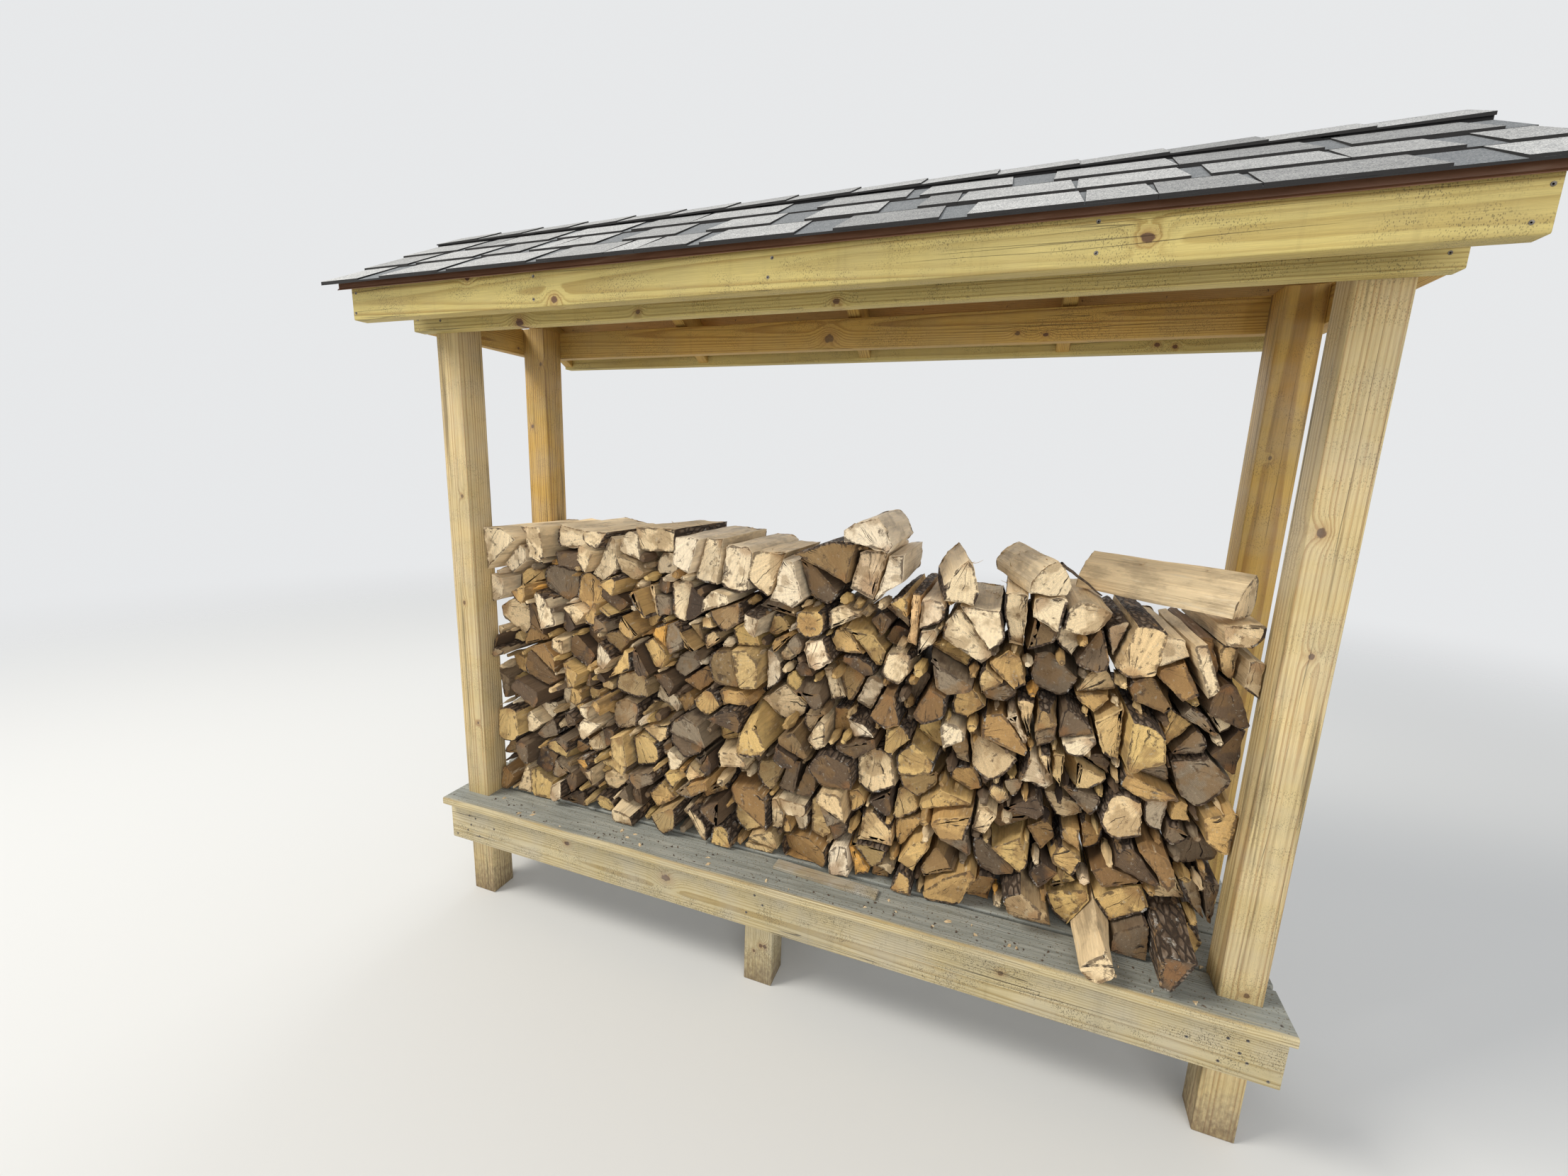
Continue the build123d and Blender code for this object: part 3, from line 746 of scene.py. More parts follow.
# %% Ridge caps
cap_shades = (0.3, 0.55, 0.7, 0.85)
caps = merged_copy("ridge_caps")
layer = caps.verts.layers.float.new("shade")
cap_islands = islands_of(caps)
for island in cap_islands:
    shade = random.Random(island[0].index).choice(cap_shades)
    for face in island:
        for vertex in face.verts:
            vertex[layer] = shade
across_caps = [edge for edge in caps.edges if abs((edge.verts[0].co - edge.verts[1].co).y) > 0.05]
bmesh.ops.subdivide_edges(caps, edges=across_caps, cuts=8, use_grid_fill=True)
caps_low, caps_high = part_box("ridge_caps")
for vertex in caps.verts:
    vertex.co.x += noise.noise(vertex.co * 70) * 0.0009
    vertex.co.z -= abs(noise.noise(vertex.co * 25)) * 0.0006
    vertex.co.x = min(max(vertex.co.x, caps_low.x), caps_high.x)
cap_count = len(cap_islands)
piece = finished(caps, "ridge_cap_shingles", [shingle_stone], ["ridge_caps"])
print("ridge caps:", cap_count, "faces:", len(piece.data.polygons))

# %% [markdown]
# ## Firewood finishes
# A split log shows three surfaces: the sawn end with rings, rays and drying cracks, the split face
# with long torn fibres, and the bark. The rings belong round the middle of the tree the log came
# from, which differs for each log, so every vertex stores its place from that middle as the attribute
# "trunk". Two more numbers, "tint" and "fresh", make some logs cream, others ochre, brown or grey.

# %% The colour of a log
wood_tones = [
    (0.0, (0.21, 0.115, 0.045, 1)), (0.20, (0.41, 0.240, 0.085, 1)), (0.38, (0.62, 0.40, 0.155, 1)),
    (0.50, (0.62, 0.425, 0.160, 1)), (0.62, (0.74, 0.53, 0.275, 1)), (0.78, (0.82, 0.655, 0.415, 1)),
    (0.93, (0.85, 0.71, 0.51, 1)), (1.0, (0.76, 0.40, 0.09, 1))]
old_tones = [(0.0, (0.040, 0.026, 0.018, 1)), (0.5, (0.125, 0.078, 0.042, 1)), (1.0, (0.26, 0.20, 0.13, 1))]


def attribute(tree, name, output=2):
    """A number stored on the mesh, or a vector with output 1."""
    return put(tree, "ShaderNodeAttribute", {}, output, attribute_name=name)


def log_colour(tree, tint, fresh):
    """The wood's own colour: brown to cream by tint, greyer and darker where it isn't fresh."""
    freshness = between(tree, fresh, 0.22, 0.50)
    return mixed(tree, freshness, ramp(tree, tint, old_tones), ramp(tree, tint, wood_tones))


print("tones of fresh and old wood:", len(wood_tones), "and", len(old_tones))

# %% [markdown]
# On a sawn end the rings are a sine of the distance from the tree's middle. Rays and drying cracks
# depend on the angle round it, so they run outwards. The saw left faint waves.

# %% Sawn ends: rings, rays and cracks
rings_per_metre = 330.0
end_wood, tree, shader = new_material("sawn end", roughness=0.85)
trunk = attribute(tree, "trunk", 1)
tint, fresh, inner = (attribute(tree, name) for name in ("tint", "fresh", "inner"))
flat = vectors(tree, "MULTIPLY", trunk, (1, 0, 1))
radius = vectors(tree, "LENGTH", flat)
wobble = times(tree, grown(tree, trunk, (14, 2, 14), detail=3.0), 0.012)
year = times(tree, plus(tree, radius, wobble), rings_per_metre)
ring = sloped(tree, maths(tree, "SINE", times(tree, year, 2 * pi)), 0.5, 0.5)
ring = times(tree, ring, grown(tree, trunk, (26, 5, 26), detail=2.0))
angle = maths(tree, "ARCTAN2", axis_of(tree, trunk, 2), axis_of(tree, trunk, 0))
ray = {"W": times(tree, angle, 11.0), "Scale": 1.0, "Detail": 4.0}
ray = put(tree, "ShaderNodeTexNoise", ray, noise_dimensions="1D")
bend = times(tree, grown(tree, trunk, (22, 4, 22), detail=3.0), 0.9)
spread = plus(tree, sloped(tree, angle, 2.4, times(tree, radius, 2.0)), bend)
crack = put(tree, "ShaderNodeTexNoise", {"W": spread, "Scale": 1.0, "Detail": 2.0}, noise_dimensions="1D")
crack = between(tree, maths(tree, "ABSOLUTE", minus(tree, crack, 0.56)), 0.011, 0.002)
crack = times(tree, crack, between(tree, grown(tree, trunk, (30, 1, 30), detail=2.0), 0.44, 0.60))
saw = {"Vector": flat, "Scale": 34.0, "Distortion": 9.0, "Detail": 3.0, "Detail Scale": 0.8}
saw = put(tree, "ShaderNodeTexWave", saw)
blotch = grown(tree, trunk, (38, 10, 38), detail=6.0, roughness=0.72)
fibre = grown(tree, trunk, (380, 60, 380), detail=3.0, roughness=0.7)
print("an end has about", round(rings_per_metre / 100, 1), "rings to the centimetre")

# %% [markdown]
# The colour starts from the log's own and is darkened by rings, rays, fibres and saw marks. Then come
# brown heartwood, dirt that is strongest at the worn edge, stains, grey mould and the cracks' shadow.

# %% Sawn ends: colour and height
heart_brown, stain_brown = (0.27, 0.125, 0.04, 1), (0.25, 0.14, 0.05, 1)
dirt_brown, crack_black = (0.075, 0.044, 0.024, 1), (0.02, 0.012, 0.008, 1)
mould_grey = (0.46, 0.42, 0.33, 1)
heart = between(tree, plus(tree, radius, times(tree, blotch, 0.05)), 0.068, 0.045)
tone = mixed(tree, times(tree, heart, 0.55), log_colour(tree, tint, fresh), heart_brown)
shade = times(tree, sloped(tree, ring, -0.34, 1.10), sloped(tree, ray, 0.5, 0.76))
shade = times(tree, shade, sloped(tree, fibre, 0.9, 0.58))
shade = times(tree, shade, sloped(tree, saw, 0.06, 0.97))
tone = darkened(tree, tone, shade)
dirt = between(tree, plus(tree, blotch, sloped(tree, inner, -0.13, 0.07)), 0.49, 0.60)
tone = mixed(tree, times(tree, dirt, 0.82), tone, dirt_brown)
stain = between(tree, grown(tree, trunk, (15, 6, 15), detail=3.0), 0.50, 0.60)
tone = mixed(tree, times(tree, stain, 0.5), tone, stain_brown)
mould = between(tree, grown(tree, trunk, (85, 20, 85), detail=4.0, roughness=0.7), 0.60, 0.67)
tone = mixed(tree, times(tree, mould, 0.42), tone, mould_grey)
tree.links.new(mixed(tree, crack, tone, crack_black), shader["Base Color"])
height = minus(tree, sloped(tree, saw, 0.15, times(tree, fibre, 0.8)), crack)
rough_surface(tree, shader, plus(tree, height, blotch), 0.0022)
print("finish made:", end_wood.name)

# %% [markdown]
# Split faces tear along the fibres, so their noise is stretched some thirtyfold along the log.

# %% Split faces
soiled_brown, bare_cream = (0.10, 0.062, 0.036, 1), (0.82, 0.69, 0.48, 1)
split_wood, tree, shader = new_material("split face", roughness=0.82)
trunk = attribute(tree, "trunk", 1)
tint, fresh = attribute(tree, "tint"), attribute(tree, "fresh")
long_fibre = grown(tree, trunk, (170, 5, 170), detail=4.0, roughness=0.65)
streak = grown(tree, trunk, (45, 2.5, 45), detail=4.0)
blotch = grown(tree, trunk, (16, 7, 16), detail=5.0, roughness=0.65)
shade = times(tree, sloped(tree, long_fibre, 0.7, 0.62), sloped(tree, streak, 0.6, 0.75))
tone = darkened(tree, log_colour(tree, tint, fresh), shade)
soiled = times(tree, between(tree, blotch, 0.46, 0.62), sloped(tree, fresh, -0.45, 0.8))
tone = mixed(tree, soiled, tone, soiled_brown)
bare = between(tree, grown(tree, trunk, (60, 9, 60), detail=5.0, roughness=0.7), 0.57, 0.66)
tone = mixed(tree, times(tree, bare, times(tree, fresh, 0.6)), tone, bare_cream)
tree.links.new(tone, shader["Base Color"])
rough_surface(tree, shader, sloped(tree, streak, 0.8, long_fibre), 0.004)
print("finish made:", split_wood.name)

# %% [markdown]
# Bark is the opposite of neat: deep furrows along the log, cross cracks that part it into plates,
# places where it has come off, and pale crusts of lichen. Its tones are the bark's own dark browns,
# set darker still, near black in the furrows and plate cracks, as painted shade for the gaps between logs.

# %% Bark
bark_and_painted_shade_tones = [
    (0.10, (0.010, 0.007, 0.005, 1)), (0.30, (0.050, 0.032, 0.020, 1)), (0.46, (0.120, 0.082, 0.053, 1)),
    (0.66, (0.28, 0.22, 0.165, 1))]
red_brown, bared_brown, lichen_grey = (0.14, 0.080, 0.040, 1), (0.36, 0.22, 0.10, 1), (0.52, 0.50, 0.45, 1)
bark, tree, shader = new_material("bark", roughness=0.92)
trunk = attribute(tree, "trunk", 1)
furrow = grown(tree, trunk, (75, 14, 75), detail=5.0, roughness=0.6)
plates = {"Vector": vectors(tree, "MULTIPLY", trunk, (75, 24, 75)), "Scale": 1.0}
plates = between(tree, put(tree, "ShaderNodeTexVoronoi", plates, feature="DISTANCE_TO_EDGE"), 0.0, 0.22)
# The ramp's darkest tones, in furrows and between plates, are painted shade as well as dark bark.
tone = ramp(tree, times(tree, furrow, sloped(tree, plates, 0.6, 0.4)), bark_and_painted_shade_tones)
tone = mixed(tree, times(tree, attribute(tree, "tint"), 0.22), tone, red_brown)
bared = between(tree, grown(tree, trunk, (22, 9, 22), detail=6.0, roughness=0.7), 0.56, 0.62)
tone = mixed(tree, times(tree, bared, 0.75), tone, bared_brown)
crust = between(tree, grown(tree, trunk, (34, 20, 34), detail=6.0, roughness=0.7), 0.59, 0.66)
tone = mixed(tree, times(tree, crust, 0.75), tone, lichen_grey)
tree.links.new(tone, shader["Base Color"])
rough_surface(tree, shader, sloped(tree, plates, 0.8, furrow), 0.006)
print("finish made:", bark.name)

# %% [markdown]
# ## Logs apart
# The solids hold the logs as plain prisms, six groups across the bay. A node's mesh is merged and
# walked face by face, and each connected island is one log. Walking in order of index, and not
# through a set, gives the same logs in the same order in every run. For the same reason a prism's
# sides are laid one by one: an extrusion adds its edges in no fixed order.

# %% One small mesh for each log
def prism(island):
    """A log's prism again, in a bmesh of its own: both ends, and a side between each two corners."""
    edges = [edge for face in island for edge in face.edges]
    longest = max(edges, key=lambda edge: edge.calc_length())
    axis = (longest.verts[1].co - longest.verts[0].co).normalized()
    end = max(island, key=lambda face: abs(face.normal.dot(axis)))
    along = -end.normal * longest.calc_length()
    log = bmesh.new()
    near = [log.verts.new(vertex.co) for vertex in end.verts]
    far = [log.verts.new(vertex.co + along) for vertex in end.verts]
    log.faces.new(near)
    log.faces.new(far)
    for corner in range(len(near)):
        log.faces.new((near[corner], near[corner - 1], far[corner - 1], far[corner]))
    bmesh.ops.recalc_face_normals(log, faces=log.faces)
    return log


def logs_of(node):
    """Each log of a node as its own bmesh."""
    whole = merged_copy(node)
    logs = [prism(island) for island in islands_of(whole)]
    whole.free()
    return logs


def middle_of(log):
    """The middle of a log's corners."""
    return sum((vertex.co for vertex in log.verts), Vector()) / len(log.verts)


first_logs = logs_of("log_stack_1")
print("logs in the first group:", len(first_logs), "sides of the first:", len(first_logs[0].faces) - 2)
for log in first_logs:
    log.free()

# %% [markdown]
# ## Sides of a log
# Sides that turn gently into each other were the round outside of the tree, so they are bark, and
# the rest are split faces. Where the tree's middle lay follows from the bark, and the rings of the
# sawn end need it.

# %% Bark or split face
END, SPLIT, BARK = 0, 1, 2
log_finishes = [end_wood, split_wood, bark]
bark_turn = radians(34)
upward_side = 0.3
beside_log = (0.05, 0.09)
off_centre = 0.008


def is_end(face):
    """Whether a face closes the log and doesn't run along it."""
    return abs(face.normal.y) > 0.9


def sort_sides(log, bare_top, barked=False):
    """Marks ends, split faces and bark; returns the bark's middles and the number of split faces."""
    for face in log.faces:
        if is_end(face):
            face.material_index = END
            continue
        lengthwise = [edge for edge in face.edges if not any(is_end(other) for other in edge.link_faces)]
        turns = [edge.calc_face_angle(9) for edge in lengthwise]
        face.material_index = BARK if barked or min(turns) < bark_turn else SPLIT
        if bare_top and face.normal.z > upward_side:
            face.material_index = SPLIT
    bark_spots = [face.calc_center_median() for face in log.faces if face.material_index == BARK]
    split_count = sum(face.material_index == SPLIT for face in log.faces)
    return bark_spots, split_count


def tree_middle(log, middle, bark_spots, split_count, chance):
    """Where the tree's middle lay: opposite the bark, or beside a log that has none."""
    if not bark_spots:
        turn = chance.uniform(0, 2 * pi)
        return middle + Vector((cos(turn), 0, sin(turn))) * chance.uniform(*beside_log)
    if split_count == 0:
        return middle + Vector((chance.uniform(-1, 1), 0, chance.uniform(-1, 1))) * off_centre
    outside = sum(bark_spots, Vector()) / len(bark_spots)
    corners = [vertex.co for vertex in log.verts]
    return max(corners, key=lambda spot: Vector((spot.x - outside.x, spot.z - outside.z)).length).copy()


print("sides meet as bark below", round(degrees(bark_turn)), "degrees")

# %% [markdown]
# ## Divisions and rims
# A rough surface needs points to move, so the outline and the length are divided. Each end is inset
# twice: the first rim shows the bark's thickness, and the second tells the finish where the worn
# edge stops, as the attribute "inner".

# %% Divisions and rims
worn_width, worn_share = 0.010, 0.13
rim_rounding = 0.0012


def runs_along(edge):
    """Whether an edge runs along the log and not round its end."""
    return abs(edge.verts[0].co.y - edge.verts[1].co.y) > 0.5 * edge.calc_length()


def subdivided(log, edges, cuts):
    """Divides edges so that only quads come between them."""
    bmesh.ops.subdivide_edges(log, edges=edges, cuts=cuts, use_grid_fill=True, use_only_quads=True)


def divide(log, step, rings):
    """Divides the outline into short edges and the length into rings."""
    by_cuts = {}
    for face in log.faces:
        if face.material_index != END:
            pair = [edge for edge in face.edges if not runs_along(edge)]
            cuts = int(max(edge.calc_length() for edge in pair) / step + 0.5)
            by_cuts.setdefault(cuts, []).extend(pair)
    for cuts in sorted(by_cuts):
        if cuts > 0:
            subdivided(log, by_cuts[cuts], cuts)
    subdivided(log, [edge for edge in log.edges if runs_along(edge)], rings)


def rim_ends(log, thickness, inner):
    """Insets both ends twice; the rim beside bark becomes bark, and the outer edge is eased."""
    ends = [face for face in log.faces if is_end(face)]
    spans = [[vertex.co[axis] for vertex in log.verts] for axis in (0, 2)]
    worn = min(worn_width, worn_share * min(max(span) - min(span) for span in spans))
    rims = bmesh.ops.inset_individual(log, faces=ends, thickness=thickness, use_even_offset=False)["faces"]
    bmesh.ops.inset_individual(log, faces=ends, thickness=worn, use_even_offset=False)
    for face in ends:
        for vertex in face.verts:
            vertex[inner] = 1.0
    edges = []
    for face in rims:
        for edge in face.edges:
            for other in edge.link_faces:
                if abs(other.normal.y) < 0.9:
                    edges.append(edge)
                    face.material_index = BARK if other.material_index == BARK else END
    ease(log, edges, rim_rounding)


print("rims are worn up to", worn_width * 1000, "mm wide")

# %% [markdown]
# ## Splitting again
# Many logs were split once more, which left a flat face where the bark or a corner was. Cutting a
# whole slice off would open the stack from front to back. Here the points beyond a sloping plane are
# pressed onto it instead: the face is deep at one end and runs out near the log's middle. It is on
# top or on a side, so the log still lies on those below, and the wedges of shadow look natural.

# %% Flat faces pressed into a log
splits_per_log = (0, 1, 1, 2)
split_directions = (-0.2, 1.2)
split_depths, split_run_outs = (0.2, 0.6), (0.4, 0.65)
from_front = 0.65


def reach_of(log):
    """The least and the greatest Y of a log's points."""
    places = [vertex.co.y for vertex in log.verts]
    return min(places), max(places)


def split_again(log, middle, chance):
    """Presses up to two flat faces into a divided log's upper part."""
    low, high = reach_of(log)
    for _ in range(chance.choice(splits_per_log)):
        turn = chance.uniform(*split_directions) * pi
        away = Vector((cos(turn), 0, sin(turn)))
        reach = max(away.dot(vertex.co - middle) for vertex in log.verts)
        depth = reach * chance.uniform(*split_depths)
        run_out = chance.uniform(*split_run_outs)
        deep_end, other_end = (low, high) if chance.random() < from_front else (high, low)
        pressed = set()
        for vertex in log.verts:
            share = (vertex.co.y - deep_end) / (other_end - deep_end)
            over = away.dot(vertex.co - middle) - reach + depth * max(1 - share / run_out, 0)
            if over > 0:
                vertex.co -= away * over
                pressed.add(vertex.index)
        for face in log.faces:
            if face.material_index == BARK and all(vertex.index in pressed for vertex in face.verts):
                face.material_index = SPLIT


print("flat faces run out near the middle of a log")

# %% [markdown]
# ## Weathering a log
# Round logs are smoothed, while split ones keep their corners. The surface is pushed in by noise that
# is stretched along the fibres, the ends taper and tilt, and some front ends stand back. Everything
# moves inwards only, so the log stays inside its solid. Half-way along, a log keeps its full width:
# there the logs rest on each other, and hardly any daylight shows through the stack.

# %% How rough, and how full
bark_noise = ((38, 15, 0.0032), (110, 40, 0.0020))
wood_noise = ((30, 5, 0.0050), (110, 9, 0.0026))
end_grain, end_noise = 90, 0.0028
end_zone = 0.004
side_slope = 0.35
front_taper, back_taper, sturdy_taper = 0.13, 0.10, 0.04
usual_tilt, steep_tilt, steep_share = 0.14, 0.45, 0.1
full_half, fade_half = 0.28, 0.16


def roughness_at(vertex, shift):
    """How far the surface at a point is pushed in, by two sizes of stretched noise."""
    spot = vertex.co + shift
    barked = any(face.material_index == BARK for face in vertex.link_faces)
    return sum((0.5 + noise.noise(Vector((spot.x * fine, spot.y * long, spot.z * fine)))) * deep
               for fine, long, deep in (bark_noise if barked else wood_noise))


def fullness_at(share):
    """How much of its full width a log keeps at a share of its length."""
    return min(max((full_half - abs(share - 0.5)) / fade_half, 0.0), 1.0)


full_places = [share / 10 for share in range(11) if fullness_at(share / 10) == 1]
print("a log keeps its full width at", full_places, "of its length")

# %% [markdown]
# The moves are worked out for all points before any point moves, because each depends on the ends
# and on the normals as they were.

# %% Weathering a log
def smoothed(log, verts, factor):
    """Smooths points round the log but not along it."""
    bmesh.ops.smooth_vert(log, verts=verts, factor=factor, use_axis_x=True, use_axis_z=True)


def weather_log(log, middle, chance, set_back, sturdy):
    """Softens, roughens, tapers and tilts a divided log, always inwards."""
    low, high = reach_of(log)
    full = [vertex.co.copy() for vertex in log.verts]
    rounded = [vertex for vertex in log.verts
               if all(face.material_index != SPLIT for face in vertex.link_faces)]
    for _ in range(3):
        smoothed(log, rounded, 0.5)
    smoothed(log, log.verts, 0.15)
    log.normal_update()
    shift = Vector([chance.uniform(-50, 50) for _ in range(3)])
    most = (sturdy_taper, sturdy_taper) if sturdy else (front_taper, back_taper)
    tapers = [chance.uniform(0.0, taper) for taper in most]
    tilt = steep_tilt if chance.random() < steep_share else usual_tilt
    tilts = [Vector((chance.uniform(-tilt, tilt), 0, chance.uniform(-tilt, tilt))) for _ in range(2)]
    spans = [max(tilt.dot(vertex.co - middle) for vertex in log.verts) for tilt in tilts]
    moved = []
    for vertex, wide in zip(log.verts, full):
        inward = Vector((-vertex.normal.x, 0, -vertex.normal.z))
        on_side = inward.length > side_slope
        share = (vertex.co.y - low) / (high - low)
        step = inward / inward.length * max(roughness_at(vertex, shift), 0) if on_side else Vector()
        narrow = tapers[0] * (1 - share) ** 2 + tapers[1] * share ** 2
        step -= Vector((vertex.co.x - middle.x, 0, vertex.co.z - middle.z)) * narrow
        step.y += set_back * (1 - share)
        if vertex.co.y - low < end_zone:
            step.y += spans[0] - tilts[0].dot(vertex.co - middle)
        if high - vertex.co.y < end_zone:
            step.y -= spans[1] - tilts[1].dot(vertex.co - middle)
        if not on_side:
            spot = (vertex.co + shift) * end_grain
            step.x += noise.noise(spot) * end_noise
            step.z += noise.noise(spot + Vector((7, 7, 7))) * end_noise
        place = vertex.co + step
        rests = 0.0 if sturdy else fullness_at(share)
        moved.append((place.x + (wide.x - place.x) * rests, place.y, place.z + (wide.z - place.z) * rests))
    for vertex, place in zip(log.verts, moved):
        vertex.co = place


print("weathering ready")

# %% [markdown]
# ## The log maker
# One function takes a prism through all steps. The finishes then need three things on each point: its
# place from the tree's middle, and the log's own tint and freshness.

# %% The log maker
rim_widths = (0.0035, 0.008)
bare_top_share = 0.75
pale_tints = (0.72, 0.95)
usual_tint, tint_spread = 0.56, 0.24


def make_log(log, chance, step=0.011, rings=9, on_top=False, set_back=0.0, resplit=False, barked=False):
    """A whole log from its prism. A log on top of the stack is pale and split above."""
    bare_top = on_top and chance.random() < bare_top_share and not barked
    middle = middle_of(log)
    inner = log.verts.layers.float.new("inner")
    bark_spots, split_count = sort_sides(log, bare_top, barked)
    centre = tree_middle(log, middle, bark_spots, split_count, chance)
    divide(log, step, rings)
    if resplit:
        log.verts.index_update()
        split_again(log, middle, chance)
    rim_ends(log, chance.uniform(*rim_widths), inner)
    weather_log(log, middle, chance, set_back, on_top)
    trunk = log.verts.layers.float_vector.new("trunk")
    tint = log.verts.layers.float.new("tint")
    fresh = log.verts.layers.float.new("fresh")
    if bare_top:
        this_tint, this_fresh = chance.uniform(*pale_tints), 1.0
    else:
        this_tint, this_fresh = min(max(chance.gauss(usual_tint, tint_spread), 0.02), 1.0), chance.random()
    start = chance.uniform(-5, 5)
    for vertex in log.verts:
        vertex[trunk] = vertex.co - centre + Vector((0, start, 0))
        vertex[tint] = this_tint
        vertex[fresh] = this_fresh


def join(together, log):
    """Adds a finished log to a larger bmesh and frees it."""
    part = bpy.data.meshes.new("log")
    log.to_mesh(part)
    log.free()
    together.from_mesh(part)
    bpy.data.meshes.remove(part)


print("log maker ready")

# %% [markdown]
# ## The stack
# Every log of a group is finished by itself and then joined to the group's mesh, because one object
# for each of some 330 logs would be slow to handle. A log counts as on top when no other log of its
# group lies over it. Logs on top carry the loose ones, so they aren't split again. A log that lies
# at an angle is turned along Y while it is made, always by the same end, and then turned back. Two
# logs at the right end keep their rough bark all round, as the real ones do: one that sticks out low
# at the front, and one under the loose pale log.

# %% Six groups of firewood
loose_drop = 0.003
proud_front = -0.22
set_backs = (0.0, 0.0, 0.012, 0.024, 0.040, 0.058)
barked_places = ((0.975, 0.450), (0.800, 1.172))
same_column, clearly_higher = 0.045, 0.03


def lies_over(other, this):
    """Whether one middle lies over another."""
    return abs(other.x - this.x) < same_column and other.z > this.z + clearly_higher


def log_group(node, name, seed):
    """All logs of a node as one piece."""
    chance = random.Random(seed)
    together = bmesh.new()
    logs = logs_of(node)
    middles = [middle_of(log) for log in logs]
    loose = node == "loose_logs"
    for log, middle in zip(logs, middles):
        longest = max(log.edges, key=lambda edge: edge.calc_length())
        axis = (longest.verts[0].co - longest.verts[1].co).normalized()
        axis = min(axis, -axis, key=lambda way: way.y)
        turn = axis.rotation_difference(Y).to_matrix() if abs(axis.y) < 0.99 else Matrix.Identity(3)
        bmesh.ops.rotate(log, cent=middle, matrix=turn, verts=log.verts)
        log.normal_update()
        on_top = loose or not any(lies_over(other, middle) for other in middles)
        proud = reach_of(log)[0] < proud_front
        set_back = 0.0 if loose or proud else chance.choice(set_backs)
        barked = any(abs(middle.x - x) + abs(middle.z - z) < 0.02 for x, z in barked_places)
        resplit = not (on_top or barked)
        make_log(log, chance, on_top=on_top, set_back=set_back, resplit=resplit, barked=barked)
        bmesh.ops.rotate(log, cent=middle, matrix=turn.transposed(), verts=log.verts)
        if loose:
            bmesh.ops.translate(log, vec=(0, 0, -loose_drop), verts=log.verts)
        join(together, log)
    piece = finished(together, name, log_finishes, [node], smooth_below=34)
    triangles = sum(len(face.vertices) - 2 for face in piece.data.polygons)
    print(name, "logs:", len(logs), "triangles:", triangles)
    return piece


firewood = [log_group(f"log_stack_{number}", f"split_logs_{number}", number) for number in range(1, 7)]
firewood.append(log_group("loose_logs", "crosswise_logs", 7))

# %% [markdown]
# ## Kindling between the logs
# Thin sticks and slivers get wedged into the larger gaps of a stack. To find such gaps, a grid of
# points is tested against the logs' surface: a point's distance to the nearest wood says how thick a
# stick fits there. The points that have the most room in their neighbourhood get a stick.

# %% Gaps in the stack
grid_step = 0.009
slices = (-0.15, -0.12, -0.09)
thinnest_stick = 0.0082
gap_distance = 0.02
over_stack = 1.6
end_margin, top_margin, lowest_gap = 0.02, 0.03, 0.008
last_place = 0.05
deck_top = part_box("deck_board_1")[1].z
inner_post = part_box("post_front_right")[0].x
stack = bmesh.new()
for piece in firewood:
    stack.from_mesh(piece.data)
surface = BVHTree.FromBMesh(stack)
stack.free()


def room_at(x, z):
    """The least distance to wood over all slices, or zero inside a log."""
    least = 1.0
    for y in slices:
        spot = Vector((x, y, z))
        nearest, normal, _, distance = surface.find_nearest(spot)
        if (spot - nearest).dot(normal) < 0:
            return 0.0
        least = min(least, distance)
    return min(least, z - deck_top)


def wood_below(x, y, z):
    """The height of the wood or the deck under a point."""
    hit = surface.ray_cast(Vector((x, y, z)), -Z)[0]
    return hit.z if hit else deck_top


def top_at(x):
    """The lowest stack top near x, and never past the stack's ends."""
    limit = inner_post - last_place
    places = [max(min(x + shift, limit), -limit) for shift in (-0.03, 0.0, 0.03)]
    return min(wood_below(place, y, over_stack) for place in places for y in (-0.06, 0.08))


room = {}
for column in range(int(2 * (inner_post - end_margin) / grid_step)):
    x = -inner_post + end_margin + column * grid_step
    for row in range(int((top_at(x) - top_margin - deck_top) / grid_step)):
        z = deck_top + lowest_gap + row * grid_step
        room[column, row] = room_at(x, z), x, z
gaps = []
for (column, row), (space, x, z) in sorted(room.items()):
    around = [room.get((column + a, row + b), (0, 0, 0))[0] for a in range(-2, 3) for b in range(-2, 3)]
    apart = all(abs(x - gap[1]) + abs(z - gap[2]) > gap_distance for gap in gaps)
    if space > thinnest_stick and space >= max(around) and apart:
        gaps.append((space, x, z))
print("points tested:", len(room), "gaps:", len(gaps))

# %% [markdown]
# A stick is a small cone with four to six sides that goes through the log maker, so it has the same
# rims, noise and finishes. A ray straight down lowers it onto the wood below.

# %% Sticks in the gaps
thickest_stick, fill_share = 0.018, 0.92
stick_front, stick_middle, stick_back = (-0.178, -0.130), -0.11, (-0.075, -0.055)
gap_chance = random.Random(61)
kindling = bmesh.new()
for space, x, z in gaps:
    radius = min(fill_share * space, thickest_stick)
    drop = min(z - radius - wood_below(x, stick_middle, z), space - radius + 0.001)
    sides = gap_chance.choice((4, 5, 6))
    front, back = gap_chance.uniform(*stick_front), gap_chance.uniform(*stick_back)
    turn = Matrix.Rotation(pi / 2, 4, "X") @ Matrix.Rotation(gap_chance.uniform(0, pi), 4, "Z")
    place = Matrix.Translation((x, (front + back) / 2, z - max(drop, 0)))
    tip_radius = radius * gap_chance.uniform(0.7, 1.0)
    stick = bmesh.new()
    bmesh.ops.create_cone(
        stick, cap_ends=True, segments=sides, radius1=radius, radius2=tip_radius, depth=back - front,
        matrix=place @ turn)
    stick.normal_update()
    make_log(stick, gap_chance, step=0.008, rings=5)
    join(kindling, stick)
piece = finished(kindling, "kindling", log_finishes, smooth_below=38)
print("sticks in the gaps:", len(gaps), "faces:", len(piece.data.polygons))

